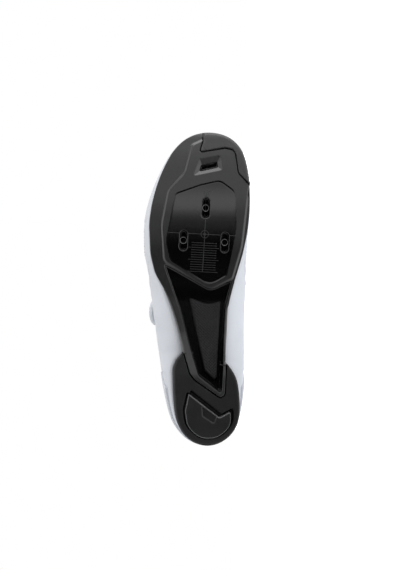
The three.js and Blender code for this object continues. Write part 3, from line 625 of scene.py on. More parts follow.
@dataclass
class Surface:
    """Points and four-cornered faces on their way to a mesh, in the shoe's frame."""

    points: Array
    faces: Array
    uv: Array
    marks: dict[str, Array] = field(default_factory=dict)

    @classmethod
    def grid(
        cls,
        points: Array,
        uv: Array | None = None,
        keep: Array | None = None,
        marks: dict[str, Array] | None = None,
    ) -> "Surface":
        """A grid of points as a surface.

        Args:
            points: rows by columns by three.
            uv: rows by columns by two; the shares of the grid if left out.
            keep: which cells are kept, rows less one by columns less one.
            marks: named numbers for each point.

        Returns:
            The surface.
        """
        rows, columns = points.shape[:2]
        if uv is None:
            shares = (np.linspace(0, 1, count) for count in (rows, columns))
            uv = np.stack(np.meshgrid(*shares, indexing="ij"), -1)
        faces = grid_faces(rows, columns)
        if keep is not None:
            faces = faces[keep.reshape(-1)]
        given = {name: value.reshape(-1) for name, value in (marks or {}).items()}
        return cls(points.reshape(-1, 3), faces, uv.reshape(-1, 2), given)

    @classmethod
    def join(cls, parts: Sequence["Surface"]) -> "Surface":
        """Several surfaces as one.

        Args:
            parts: the surfaces. A mark that one of them lacks is 0 there.

        Returns:
            The surface.
        """
        starts = np.cumsum([0] + [len(p.points) for p in parts[:-1]])
        names = {name for p in parts for name in p.marks}
        return cls(
            np.concatenate([p.points for p in parts]),
            np.concatenate([p.faces + s for p, s in zip(parts, starts)]),
            np.concatenate([p.uv for p in parts]),
            {n: np.concatenate([p.marks.get(n, np.zeros(len(p.points))) for p in parts]) for n in names},
        )

    def flipped(self, over: bool = True) -> "Surface":
        """The surface with its faces turned over, or as it is."""
        return replace(self, faces=self.faces[:, ::-1]) if over else self

    def copies(self, matrices: Array) -> "Surface":
        """Copies of the surface, each turned and moved.

        Args:
            matrices: a 3 by 4 matrix for each copy.

        Returns:
            All the copies as one surface.
        """
        count, size = len(matrices), len(self.points)
        moved = np.einsum("nij,pj->npi", matrices[:, :, :3], self.points) + matrices[:, None, :, 3]
        faces = self.faces[None] + (np.arange(count) * size)[:, None, None]
        marks = {name: np.tile(value, count) for name, value in self.marks.items()}
        return Surface(moved.reshape(-1, 3), faces.reshape(-1, 4), np.tile(self.uv, (count, 1)), marks)

    def piece(self, name: str, rest: Rest) -> bpy.types.Object:
        """Makes the closed mesh, turned outward by the sign of its volume, and welded.

        Args:
            name: the object's name.
            rest: where the shoe lies.

        Returns:
            The object, at the origin.
        """
        a, b, c, d = np.moveaxis(self.points[self.faces], 1, 0)
        volume = np.einsum("ij,ij->", a, np.cross(b, c)) + np.einsum("ij,ij->", a, np.cross(c, d))
        faces = self.flipped(volume < 0).faces
        mesh = bpy.data.meshes.new(name)
        mesh.from_pydata(rest.points(self.points), [], faces.tolist())
        layer = mesh.uv_layers.new(name="UVMap")
        layer.uv.foreach_set("vector", self.uv[faces.reshape(-1)].astype(np.float32).reshape(-1))
        for label, value in self.marks.items():
            attribute = mesh.attributes.new(label, "FLOAT", "POINT")
            attribute.data.foreach_set("value", value.astype(np.float32))
        weld(mesh)
        mesh.polygons.foreach_set("use_smooth", np.ones(len(mesh.polygons), bool))
        mesh.update()
        return link(name, mesh)


def sweep(path: Array, facing: Array, profile: Array, closed: bool = False) -> Surface:
    """A profile carried along a path.

    At each point of the path the profile's first coordinate runs along facing, made square to the
    path, and its second across both. Open ends are closed by rings shrunk to a point.

    Args:
        path: the path's points.
        facing: a direction for each point of the path.
        profile: points of the closed profile.
        closed: whether the path joins up with itself.

    Returns:
        The surface.
    """
    tangent = unit(np.roll(path, -1, 0) - np.roll(path, 1, 0) if closed else np.gradient(path, axis=0))
    first = square_to(facing, tangent)
    second = np.cross(tangent, first)
    ring = path[:, None] + profile[:, :1] * first[:, None] + profile[:, 1:] * second[:, None]
    ring = np.concatenate([ring, ring[:, :1]], 1)
    run = run_along(path)
    if closed:
        ring = np.concatenate([ring, ring[:1]])
        run = np.append(run, run[-1] + np.linalg.norm(path[0] - path[-1]))
    else:
        ends = [np.broadcast_to(end.mean(1, keepdims=True), end.shape) for end in (ring[:1], ring[-1:])]
        ring = np.concatenate([ends[0], ring, ends[1]])
        run = np.concatenate([run[:1], run, run[-1:]])
    around = np.linspace(0, 1, ring.shape[1])
    return Surface.grid(ring, np.stack(np.broadcast_arrays(around[None], run[:, None]), -1))


def circle(radius: float, count: int) -> Array:
    """Points round a circle."""
    turn = np.linspace(0, 2 * math.pi, count, endpoint=False)
    return radius * np.stack([np.cos(turn), np.sin(turn)], -1)


def lathe(profile: Array, count: int, ripple: Callable[[Array, Array], Array] | None = None) -> Surface:
    """A profile turned round the Z axis.

    Args:
        profile: rows of radius and height, from one pole to the other.
        count: steps round the axis.
        ripple: how far a point moves in, from the turn and the profile's share, if it isn't round.

    Returns:
        The closed surface.
    """
    turn = np.append(np.linspace(0, 2 * math.pi, count, endpoint=False), 0)[None]
    share = np.linspace(0, 1, len(profile))[:, None]
    radius = profile[:, :1] - (ripple(turn, share) if ripple else 0 * turn)
    height = np.broadcast_to(profile[:, 1:], radius.shape)
    return Surface.grid(np.stack([radius * np.cos(turn), radius * np.sin(turn), height], -1))


def rounded_profile(corners: Sequence[Sequence[float]], arc: int = 4) -> Array:
    """An open profile of radius and height, with its corners rounded.

    Args:
        corners: radius, height and rounding of each corner, from pole to pole.
        arc: steps in a rounded corner.

    Returns:
        The profile's points.
    """
    rows = np.array(corners, float)
    point, r = rows[:, :2], rows[1:-1, 2:3]
    back, ahead = point[:-2] - point[1:-1], point[2:] - point[1:-1]
    sizes = (np.linalg.norm(run, axis=1, keepdims=True) for run in (back, ahead))
    r = np.minimum(r, np.minimum(*sizes) / 2.01)
    return np.concatenate([point[:1], round_corners(back, point[1:-1], ahead, r, arc), point[-1:]])


class Slot(Enum):
    """The record's material slots."""

    WHITE = "upper_white"
    LINING = "lining_fabric"
    NYLON = "sole_nylon"
    INLAY = "inlay_textured"
    RUBBER = "sole_rubber"
    STEEL = "nut_steel"
    CLOSURE = "closure_plastic"
    LACE = "lace"


class Nodes:
    """A node tree, with short calls for the nodes that the finishes and the world share."""

    def __init__(self, tree: bpy.types.NodeTree) -> None:
        """Keeps the tree."""
        self.tree = tree

    def node(self, kind: str, inputs: dict | None = None, **settings: object) -> bpy.types.Node:
        """Adds a node.

        Args:
            kind: the node's type after ShaderNode.
            inputs: values or sockets for its inputs, by name or index.
            settings: its own settings.

        Returns:
            The node.
        """
        made = self.tree.nodes.new("ShaderNode" + kind)
        for key, value in settings.items():
            setattr(made, key, value)
        for key, value in (inputs or {}).items():
            if isinstance(value, Socket):
                self.tree.links.new(value, made.inputs[key])
            else:
                made.inputs[key].default_value = value
        return made

    def math(self, operation: str, *values: object) -> Socket:
        """One arithmetic step on sockets and numbers."""
        return self.node("Math", dict(enumerate(values)), operation=operation).outputs[0]

    def span(
        self,
        value: Socket,
        low: float,
        high: float,
        start: float = 0.0,
        end: float = 1.0,
        kind: str = "LINEAR",
    ) -> Socket:
        """Maps a range of a number onto another one.

        Args:
            value: the number.
            low: what start becomes.
            high: what end becomes.
            start: the first range's start.
            end: the first range's end.
            kind: how the steps between are taken, LINEAR or SMOOTHSTEP.

        Returns:
            The mapped number, kept between low and high.
        """
        inputs = {"Value": value, "From Min": start, "From Max": end, "To Min": low, "To Max": high}
        return self.node("MapRange", inputs, interpolation_type=kind).outputs["Result"]


class Shader(Nodes):
    """A material's node tree, with short calls for what the finishes share."""

    def __init__(self, name: str, color: Colour, roughness: float, **sockets: float) -> None:
        """Makes the material and sets its shader's own sockets.

        Args:
            name: the material's name.
            color: base colour, linear.
            roughness: base roughness.
            sockets: other sockets, by name with underscores for spaces.
        """
        self.material = bpy.data.materials.new(name)
        self.material.use_nodes = True
        super().__init__(self.material.node_tree)
        self.base = self.tree.nodes["Principled BSDF"]
        self.base.inputs["Base Color"].default_value = (*color, 1)
        self.base.inputs["Roughness"].default_value = roughness
        for key, value in sockets.items():
            self.base.inputs[key.replace("_", " ")].default_value = value
        self.material.diffuse_color = (*color, 1)

    def place(self) -> Socket:
        """Object coordinates."""
        return self.node("TexCoord").outputs["Object"]

    def noise(self, size: float, detail: float = 3.0) -> Socket:
        """Noise whose blots are about size metres across."""
        made = self.node("TexNoise", {"Vector": self.place(), "Scale": 1 / size, "Detail": detail})
        return made.outputs["Fac"]

    def cells(self, size: float) -> Socket:
        """Distance to the middle of cells about size metres across."""
        made = self.node("TexVoronoi", {"Vector": self.place(), "Scale": 1 / size})
        return made.outputs["Distance"]

    def mark(self, name: str) -> Socket:
        """A number kept on the mesh's points."""
        return self.node("Attribute", attribute_name=name).outputs["Fac"]

    def blend(self, share: Socket, first: Colour | Socket, second: Colour | Socket) -> Socket:
        """A mix of two colours, each a constant or a socket."""
        a, b = (value if isinstance(value, Socket) else (*value, 1) for value in (first, second))
        return self.node("Mix", {0: share, 6: a, 7: b}, data_type="RGBA").outputs[2]

    def tint(self, share: Socket, first: Colour | Socket, second: Colour | Socket) -> None:
        """Makes the base colour a mix of two colours."""
        self.tree.links.new(self.blend(share, first, second), self.base.inputs["Base Color"])

    def dull(self, value: Socket) -> None:
        """Drives the roughness."""
        self.tree.links.new(value, self.base.inputs["Roughness"])

    def relief(self, height: Socket, depth: float, strength: float = 1.0) -> None:
        """Raises the surface, over any relief already there.

        Args:
            height: the relief's height as a share.
            depth: what a share of one is in metres.
            strength: how much of it shows.
        """
        made = self.node("Bump", {"Height": height, "Distance": depth, "Strength": strength})
        normal = self.base.inputs["Normal"]
        if normal.is_linked:
            self.tree.links.new(normal.links[0].from_socket, made.inputs["Normal"])
        self.tree.links.new(made.outputs["Normal"], normal)


@dataclass(frozen=True)
class Finish:
    """What a surface is made of. Each kind says how its detail is drawn."""

    name: str
    slot: Slot
    color: Colour
    roughness: float

    def shader(self) -> Shader:
        """The finish's shader with its detail."""
        raise NotImplementedError

    def material(self) -> bpy.types.Material:
        """The material, made once."""
        return bpy.data.materials.get(self.name) or self.shader().material

    def darker(self, share: float) -> tuple[float, ...]:
        """The colour times a share."""
        return tuple(c * share for c in self.color)


@dataclass(frozen=True)
class Microfibre(Finish):
    """Coated microfibre: a fine pebble grain, a little soiling and a slightly uneven gloss."""

    grain: float = 0.0009

    def shader(self) -> Shader:
        """Pebbles from cells, folds from noise, and colour that varies by a few percent.

        Returns:
            The shader.
        """
        s = Shader(self.name, self.color, self.roughness)
        s.tint(s.span(s.noise(0.02), 0, 1, 0.35, 0.65), self.color, self.darker(0.95))
        s.dull(s.span(s.noise(0.004), self.roughness - 0.06, self.roughness + 0.08))
        s.relief(s.noise(0.006, 2), 0.00012, 0.5)
        s.relief(s.cells(self.grain), 0.00008, 0.6)
        return s


@dataclass(frozen=True)
class Knit(Finish):
    """Knitted lining: small loops and a soft nap."""

    loop: float = 0.0011

    def shader(self) -> Shader:
        """Loops from cells, with shade painted darker between them, and finer noise over them.

        Returns:
            The shader.
        """
        s = Shader(self.name, self.color, self.roughness, Sheen_Weight=0.25, Sheen_Roughness=0.5)
        loops = s.cells(self.loop)
        # Painted shade: the colour darkens in the hollows between loops.
        s.tint(s.span(loops, 1, 0, 0.1, 0.6), self.darker(0.6), self.color)
        s.relief(loops, 0.0002, -0.6)
        s.relief(s.noise(0.0006), 0.00008, 0.5)
        return s


@dataclass(frozen=True)
class Nylon(Finish):
    """Moulded nylon, satin from the tool's texture, and polished where the mesh says so."""

    gloss: float = 0.17
    polished: Colour = (0.0012, 0.0012, 0.0013)

    def shader(self) -> Shader:
        """Roughness between satin and gloss by the mesh's mark, with faint flow and scuff marks.

        Returns:
            The shader.
        """
        s = Shader(self.name, self.color, self.roughness)
        gloss = s.mark("gloss")
        uneven = s.span(s.noise(0.003), -0.03, 0.04)
        base = s.math("MULTIPLY_ADD", gloss, self.gloss - self.roughness, self.roughness)
        s.dull(s.math("ADD", base, uneven))
        flow = s.blend(s.span(s.noise(0.0015, 6), 0, 1, 0.3, 0.7), self.color, self.darker(1.5))
        s.tint(gloss, flow, self.polished)
        s.relief(s.math("MULTIPLY", s.noise(0.0004), s.math("SUBTRACT", 1.0, gloss)), 0.00003, 0.6)
        return s


@dataclass(frozen=True)
class Rubber(Finish):
    """Matt rubber: fine tooth, a paler bloom, and a pale highlight painted on edges where the mesh says so.
    """

    tooth: float = 0.0005
    shine: float = 0.2
    # Painted highlight: the pale colour laid on edges by the mesh's edge mark, for light caught on them.
    painted_edge_highlight: Colour = (0.16, 0.16, 0.165)

    def shader(self) -> Shader:
        """Tooth from fine noise, bloom from coarse noise, a painted edge highlight from the mesh's mark.

        Returns:
            The shader.
        """
        s = Shader(self.name, self.color, self.roughness, Specular_IOR_Level=self.shine)
        bloom = s.blend(s.span(s.noise(0.012, 4), 0, 1, 0.35, 0.7), self.color, self.darker(1.5))
        s.tint(s.mark("edge"), bloom, self.painted_edge_highlight)
        s.dull(s.span(s.noise(0.002), self.roughness - 0.1, self.roughness + 0.05))
        s.relief(s.noise(self.tooth), 0.00006, 0.7)
        return s


@dataclass(frozen=True)
class Steel(Finish):
    """Zinc plated steel with turning marks."""

    def shader(self) -> Shader:
        """Roughness and relief from fine noise.

        Returns:
            The shader.
        """
        s = Shader(self.name, self.color, self.roughness, Metallic=1.0)
        s.dull(s.span(s.noise(0.0008), self.roughness - 0.08, self.roughness + 0.12))
        s.relief(s.noise(0.0003), 0.00002, 0.5)
        return s


@dataclass(frozen=True)
class Plastic(Finish):
    """Satin moulded plastic with a faint tool texture."""

    def shader(self) -> Shader:
        """Fine noise on roughness, colour and relief.

        Returns:
            The shader.
        """
        s = Shader(self.name, self.color, self.roughness)
        s.tint(s.noise(0.005), self.color, self.darker(0.93))
        s.dull(s.span(s.noise(0.0015), self.roughness - 0.05, self.roughness + 0.05))
        s.relief(s.noise(0.0004), 0.00002, 0.5)
        return s


@dataclass(frozen=True)
class Braid(Finish):
    """Braided lace: strands that cross on the piece's own UV map, which runs in mm along the lace."""

    pitch: float = 0.7

    def shader(self) -> Shader:
        """Two slanted sine waves; their larger one is the strand on top.

        Returns:
            The shader.
        """
        s = Shader(self.name, self.color, self.roughness)
        # Two slanted sine waves; their larger one is the strand on top, and shade is painted darker where it
        # dips.
        split = s.node("SeparateXYZ", {"Vector": s.node("UVMap").outputs["UV"]})
        around = s.math("MULTIPLY", split.outputs["X"], 2 * math.pi * 3)
        along = s.math("MULTIPLY", split.outputs["Y"], 2 * math.pi / self.pitch)
        left = s.math("SINE", s.math("ADD", around, along))
        right = s.math("SINE", s.math("SUBTRACT", around, along))
        strand = s.math("MAXIMUM", left, right)
        # Painted shade: darker where the strands dip between each other.
        s.tint(s.span(strand, 0, 1, -0.5, 1), self.darker(0.5), self.color)
        s.relief(strand, 0.0001, 0.7)
        return s


WHITE = Microfibre("coated_microfibre_white", Slot.WHITE, (0.54, 0.56, 0.6), 0.45)
OVERLAY = Microfibre("overlay_white", Slot.WHITE, (0.51, 0.53, 0.57), 0.33, grain=0.0006)
LINING = Knit("knit_lining_grey", Slot.LINING, (0.3, 0.31, 0.34), 0.9)
NYLON = Nylon("moulded_nylon_black", Slot.NYLON, (0.0045, 0.0045, 0.0048), 0.4)
MARKS = Plastic("raised_marks_black", Slot.NYLON, (0.006, 0.006, 0.0063), 0.45)
TEXTURED = Rubber("textured_inlay_black", Slot.INLAY, (0.005, 0.005, 0.0055), 0.5, tooth=0.0003)
RUBBER = Rubber("sole_rubber_black", Slot.RUBBER, (0.004, 0.004, 0.0043), 0.7)
TOE_RUBBER = Rubber("toe_rubber_black", Slot.RUBBER, (0.009, 0.009, 0.0094), 0.45, shine=0.45)
STEEL = Steel("plated_steel", Slot.STEEL, (0.16, 0.16, 0.165), 0.35)
CLOSURE = Plastic("closure_plastic_grey", Slot.CLOSURE, (0.54, 0.57, 0.61), 0.36)
LACE = Braid("braided_lace_grey", Slot.LACE, (0.3, 0.31, 0.33), 0.5)
THREAD = Knit("sewing_thread_grey", Slot.WHITE, (0.55, 0.57, 0.6), 0.8, loop=0.0004)
# Painted shade: the near black of the pinhole cups stands in for the shade inside a hole.
SHADE = Plastic("perforation_painted_shade", Slot.WHITE, (0.05, 0.05, 0.055), 0.8)


class Workshop:
    """Makes the objects of the shoe and tells the frame about each of them."""

    def __init__(self, rest: Rest) -> None:
        """Keeps where the shoe lies."""
        self.rest = rest

    def add(
        self,
        name: str,
        surface: Surface,
        finish: Finish,
        replaces: Sequence[str] = (),
        padded: float | None = None,
    ) -> bpy.types.Object:
        """Makes a piece, dresses it and puts it on the frame.

        Args:
            name: the piece's name.
            surface: its shape in the shoe's frame.
            finish: what it is made of.
            replaces: the solids that it stands for.
            padded: not used.

        Returns:
            The object.
        """
        made = surface.piece(name, self.rest)
        made.data.materials.append(finish.material())
        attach(made, "root")
        if replaces:
            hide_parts(*replaces)
        log.info("%s: %d faces, %s", name, len(made.data.polygons), finish.name)
        return made


@dataclass
class Sole:
    """Everything under the upper: the plate, its relief and the pieces let into it."""

    last: Last
    shop: Workshop
    gap: float = 0.3
    edge_round: float = 2.4
    edge_share: float = 0.3
    rim_step: float = 1.6
    rim_bevel: float = 2.4
    panel_step: float = 0.85
    panel_crown: float = 0.75
    panel_lip: float = 0.16
    panel_middle: float = 186.0
    panel_half: float = 46.0
    panel_wall: float = 1.6
    platform_out: float = 0.35
    arch_wall: float = 1.1
    recess_wall: float = 0.5
    overhang: float = 0.85
    vent_step: float = 2.5
    vent_wall: float = 4.0
    vent_ramp: float = 6.3
    mouth_floor: float = 12.5
    mouth_start: float = 241.0
    arch_floor: float = 13.8
    arch_deepest: float = 120.0
    edge_cut: float = 0.5
    toe_pad_proud: float = 1.3
    toe_pad_inlay: float = 2.6
    heel_pad: float = 9.0
    lift_top: float = 6.0
    lift_proud: float = 0.5
    lift_groove: float = 3.2
    lift_dish: float = 1.5
    inlay_thickness: float = 2.2
    rib_pitch: float = 2.6
    rib_height: float = 0.3
    lasting: float = 7.0
    cleat_at: float = 179.0
    cleat_across: float = 2.9
    cleat_turn: float = 2.8
    bolt_spacing: float = 36.0
    bolt_reach: float = 29.0
    slot_run: float = 5.35
    slot_radius: float = 3.4
    nut_seat: float = 6.0
    nut_deeper: float = 0.8
    nut_top: float = 8.4
    pit_slant: float = 0.18
    ruler_pitch: float = 2.075
    ruler_reach: float = 11.0
    ruler_long: float = 13.2
    fine_start: float = 43.8
    fine_pitch: float = 1.15
    fine_reach: float = 2.6
    fine_long: float = 5.5
    ring_radii: tuple[float, ...] = (3.2, 1.0)

    def stations(self, start: float, end: float, pitch: float, fan: float) -> Array:
        """Shares of LENGTH whose sections meet the sole's edge at an even pitch.

        Args:
            start: the first share.
            end: the last share.
            pitch: distance along the edge where the sections are parallel, in mm.
            fan: distance along the edge where they turn about the spine's ends.

        Returns:
            The shares.
        """
        turn = np.linspace(float(turn_of(start)), float(turn_of(end)), 6001)
        at = (1 - np.cos(math.pi * turn)) / 2
        halves = [self.last.half(at, side) for side in Side]
        runs = [np.linalg.norm(np.diff(half.flat(half.foot), axis=0), axis=1) for half in halves]
        middle = (at[1:] + at[:-1]) / 2
        turned = (middle < SPINE_HEEL) | (middle > SPINE_TOE)
        count = np.concatenate([[0], np.cumsum(np.maximum(*runs) / np.where(turned, fan, pitch))])
        return np.interp(np.linspace(0, count[-1], int(count[-1]) + 1), count, at)

    def inset(self, share: Array) -> Array:
        """How far the side is inside the widest line: a quarter ellipse low down, then a slow curve in.

        Args:
            share: heights as shares of the side's height.

        Returns:
            The distances.
        """
        low = 1 - np.clip(share / self.edge_share, 0, 1)
        high = np.clip((share - self.edge_share) / (1 - self.edge_share), 0, 1)
        return self.edge_round * (1 - np.sqrt(1 - low**2)) + FEATHER * high**2

    def share(self, x: Array, z: Array, drop: float) -> Array:
        """Height on the sole's side as a share of its whole height."""
        foot = self.last.tread(x) - drop
        return np.clip((z - foot) / (self.last.bed(x) - self.gap - foot), 0, 1)

    def rim(self, half: Half, height: Height, drop: float) -> tuple[Array, Array]:
        """Where a surface of the sole meets its side.

        Args:
            half: half sections.
            height: the surface's height over flat points.
            drop: how far the tread is lowered.

        Returns:
            The radius from the spine, and the share of the side's height, as columns.
        """
        flat = half.flat(half.foot - self.edge_round)
        share = self.share(flat[..., 0], height(flat), drop)
        return (half.foot - self.inset(share))[:, None], share[:, None]

    def shell(
        self,
        at: Array,
        columns: int,
        low: Height,
        high: Height,
        drop: float = 0.0,
        steps: int = 9,
        marks: Marks | None = None,
        dished: bool = False,
    ) -> Surface:
        """A closed piece of the sole between two heights, out to the sole's side.

        The grid's rows are sections and its columns shares of the way from the spine to the edge. Cells
        with no thickness are left out, so a piece ends where its two heights meet.

        Args:
            at: the stations.
            columns: cells from the spine to the edge.
            low: the underside's height over flat points.
            high: the top's height over flat points.
            drop: how far the tread is lowered, for the side's curve.
            steps: cells up the side.
            marks: named numbers for flat points of the underside.
            dished: whether the top is the dish under the foot.

        Returns:
            The surface.
        """
        u = np.linspace(0, 1, columns + 1)[None]
        climb = np.linspace(0, 1, steps + 1)[None] ** 1.5
        lows, highs, walls = [], [], []
        for side in Side:
            half = self.last.half(at, side)
            wide = half.wide()
            (r_low, s_low), (r_high, s_high) = self.rim(half, low, drop), self.rim(half, high, drop)
            under = wide.flat(u * r_low)
            over = wide.flat(u * r_low + smoothstep(u, self.overhang, 1) * (r_high - r_low))
            roof = high(over)
            lows.append(raised(under, np.minimum(low(under), roof)))
            highs.append(raised(over, roof))
            share = mix(s_low, s_high, climb)
            flat = wide.flat(wide.foot - self.inset(share))
            x = flat[..., 0]
            wall = raised(flat, mix(self.last.tread(x) - drop, self.last.bed(x) - self.gap, share))
            wall[:, 0], wall[:, -1] = lows[-1][:, -1], highs[-1][:, -1]
            walls.append(wall)
        bottom, top = spread(lows), spread(highs)
        thick = top[..., 2] - bottom[..., 2] > THIN
        bottom[~thick] = top[~thick]
        keep = touched(thick)
        given = marks(bottom[..., :2]) if marks else {}
        upper = Surface.grid(top, keep=keep)
        if dished:
            upper = Surface.grid(spread([self.dish(side, at, top) for side in Side]))
        parts = [Surface.grid(bottom, keep=keep, marks=given), upper.flipped()]
        for wall, edge in zip(walls, (-1, 0)):
            wall[~thick[:, edge]] = top[~thick[:, edge], edge][:, None]
            repeated = {n: np.repeat(v[:, edge][:, None], steps + 1, 1) for n, v in given.items()}
            parts.append(Surface.grid(wall, marks=repeated).flipped(edge == 0))
        return Surface.join(parts)

    def dish(self, side: Side, at: Array, top: Array) -> Array:
        """One side of the plate's top: the dish under the foot, its wall and the margin round it.

        Args:
            side: which side.
            at: the stations.
            top: the plain top, whose edge the margin joins.

        Returns:
            Five points for each station, from the spine out.
        """
        half = self.last.half(at, side)
        edge = half.foot - FEATHER - self.lasting
        radius = np.stack([0 * edge, edge / 2, edge, edge + self.gap, edge + self.gap], 1)
        flat = half.wide().flat(radius)
        x = flat[..., 0]
        points = raised(flat, np.where(np.arange(5) < 3, self.last.deck(x), self.last.bed(x) - self.gap))
        points[:, -1] = top[:, -1 if side is Side.MEDIAL else 0]
        return points

    def turn(self) -> Array:
        """The two axes of the cleat pattern's own frame, as rows."""
        a = math.radians(self.cleat_turn)
        return np.array([[math.cos(a), math.sin(a)], [-math.sin(a), math.cos(a)]])

    def to_bolts(self, flat: Array) -> Array:
        """Flat points in the cleat pattern's own frame, its middle between the rear bolts."""
        return (flat - np.array([self.cleat_at, self.cleat_across])) @ self.turn().T

    def from_bolts(self, flat: Array) -> Array:
        """Flat points of the cleat pattern's frame in the shoe's frame."""
        return flat @ self.turn() + np.array([self.cleat_at, self.cleat_across])

    def bolts(self) -> Array:
        """The three bolts in the cleat pattern's frame."""
        half = self.bolt_spacing / 2
        return np.array([[self.bolt_reach, 0], [0, half], [0, -half]])

    def slots(self, flat: Array) -> tuple[Array, Array]:
        """Where flat points are in the bolt slots, each a line with round ends.

        Args:
            flat: the flat points.

        Returns:
            The distance to the nearest slot's edge, negative inside, and the run along that slot.
        """
        away = self.to_bolts(flat)[..., None, :] - self.bolts()
        beyond = np.maximum(np.abs(away[..., 0]) - self.slot_run, 0)
        nearest = np.argmin((away**2).sum(-1), -1)[..., None]
        along = np.take_along_axis(away[..., 0], nearest, -1)[..., 0]
        return (np.hypot(beyond, away[..., 1]) - self.slot_radius).min(-1), along

    def plate_low(self, flat: Array) -> Array:
        """Height of the plate's underside: the tread with each recess laid over the ones before it.

        Args:
            flat: the flat points.

        Returns:
            The heights.
        """
        x = flat[..., 0]
        tread = self.last.tread(x)
        rim = self.rim_step * smoothstep(x / LENGTH, 0.44, 0.56)
        z = tread + rim * (1 - below(PLATFORM).inside(flat, self.rim_bevel, self.platform_out))
        floor = np.where(x < self.arch_deepest, self.arch_floor, self.last.hollow(x))
        z = mix(z, floor, below(ARCH).inside(flat, self.arch_wall))
        crown = self.panel_crown * (1 - ((x - self.panel_middle) / self.panel_half) ** 2)
        panel = below(CLEAT_PANEL)
        lip = self.panel_lip * bell(panel.distance(flat), 0.5, 0.55) * smoothstep(x, 190, 215)
        z = np.maximum(z, tread + (self.panel_step - crown) * panel.inside(flat, self.panel_wall)) - lip
        funnel = np.minimum(below(VENT).sloped(flat, self.vent_wall), self.vent_ahead(flat))
        z = np.maximum(z, tread + self.vent_step * funnel)
        mouth = self.mouth_floor - self.pit_slant * (x - self.mouth_start)
        z = mix(z, mouth, below(VENT_MOUTH).inside(flat, 0.6))
        pocket = (self.toe_pad_inlay + self.gap) * below(TOE_PAD).inside(flat, self.recess_wall, 0.2)
        z = np.maximum(z, tread + pocket)
        distance, along = self.slots(flat)
        z = mix(z, self.nut_seat - self.pit_slant * along, 1 - smoothstep(distance, -0.5, 0.1))
        tail = 1 - below(PLATE_TAIL).inside(flat, self.recess_wall, -0.05)
        return mix(z, self.heel_pad + self.gap, tail * (x < LENGTH / 3))

    def vent_ahead(self, flat: Array) -> Array:
        """Depth of the vent's long wall on the toe's side, as a share: 0 at its line, 1 at the mouth.

        Args:
            flat: the flat points.

        Returns:
            The shares.
        """
        (x0, y0, _), (x1, y1, _) = VENT[1], VENT[2]
        lean = (x1 - x0) * LENGTH / ((y1 - y0) * BALL_WIDTH)
        line = x0 * LENGTH + lean * (flat[..., 1] - y0 * BALL_WIDTH)
        return np.clip((line - flat[..., 0]) / self.vent_ramp, 0, 1)

    def plate_marks(self, flat: Array) -> dict[str, Array]:
        """Where the plate is polished: the cleat panel, the hollow under the arch and the bevels.

        Args:
            flat: the flat points.

        Returns:
            The gloss, from 0 to 1.
        """
        panel, arch = (below(shape).inside(flat, self.recess_wall) for shape in (CLEAT_PANEL, ARCH))
        bevel = bell(below(PLATFORM).distance(flat), self.platform_out - self.rim_bevel / 2, 1.1, 4)
        bevel = 0.8 * bevel * smoothstep(flat[..., 0], 160, 190)
        walls = 0.6 * below(VENT).inside(flat, 0.6) * smoothstep(self.vent_ahead(flat), 0.8, 1.0)
        mouth = below(VENT_MOUTH).inside(flat, self.recess_wall, 0.4)
        return {"gloss": np.maximum.reduce([panel, arch, bevel, walls, mouth])}

    def margin(self, flat: Array) -> Array:
        """Height of the plate's top at its margin."""
        return self.last.bed(flat[..., 0]) - self.gap

    def build_plate(self) -> None:
        """The plate, from the heel pad's top to the toe."""
        at = self.stations(0.0, 1.0, pitch=0.58, fan=0.98)
        shell = self.shell(at, 80, self.plate_low, self.margin, marks=self.plate_marks, dished=True)
        self.shop.add("sole_plate_moulded", shell, NYLON, ["sole_plate"])

    def toe_pad_top(self, flat: Array) -> Array:
        """Height of the toe pad's top, inside the plate."""
        return self.last.tread(flat[..., 0]) + self.toe_pad_inlay

    def toe_pad_low(self, flat: Array) -> Array:
        """Proud of the tread inside the toe pad's outline, and up to the pad's own top outside it."""
        inside = below(TOE_PAD).inside(flat, 0.9, 0.1)
        return self.toe_pad_top(flat) - (self.toe_pad_inlay + self.toe_pad_proud) * inside

    def build_toe_pad(self) -> None:
        """The pad let into the plate at the toe's inner side."""
        at = self.stations(0.78, 1.0, pitch=0.6, fan=0.9)
        shell = self.shell(at, 70, self.toe_pad_low, self.toe_pad_top, drop=self.toe_pad_proud)
        self.shop.add("toe_pad_rubber", shell, TOE_RUBBER, ["toe_pad"])

    def pad_low(self, flat: Array) -> Array:
        """Height of the heel pad's face: the tread, with the lift's pocket and the groove ahead of it.

        Args:
            flat: the flat points.

        Returns:
            The heights.
        """
        (x0, y0, _), (x1, y1, _) = HEEL_LIFT[0], HEEL_LIFT[-1]
        front = self.lift_groove * unit(np.array([(y0 - y1) * BALL_WIDTH, (x1 - x0) * LENGTH]))
        shifts = np.array([[0, 0], front, [-0.9, 1.2]])
        away = np.minimum.reduce([below(HEEL_LIFT).distance(flat + shift) for shift in shifts])
        z = self.last.tread(flat[..., 0]) + self.edge_cut * (1 - smoothstep(away, 0.3, 1.3))
        z = mix(z, self.lift_top + self.gap, 1 - smoothstep(away, -0.15, 0.35))
        return mix(z, self.heel_pad, below(PLATE_TAIL).inside(flat, self.recess_wall, 0.55))

    def build_heel_pad(self) -> None:
        """The rubber pad round the heel, out to the sole's side."""
        at = self.stations(0.0, 0.33, pitch=0.6, fan=0.85)
        shell = self.shell(at, 64, self.pad_low, level(self.heel_pad))
        self.shop.add("heel_pad_rubber", shell, RUBBER, ["heel_pad"])

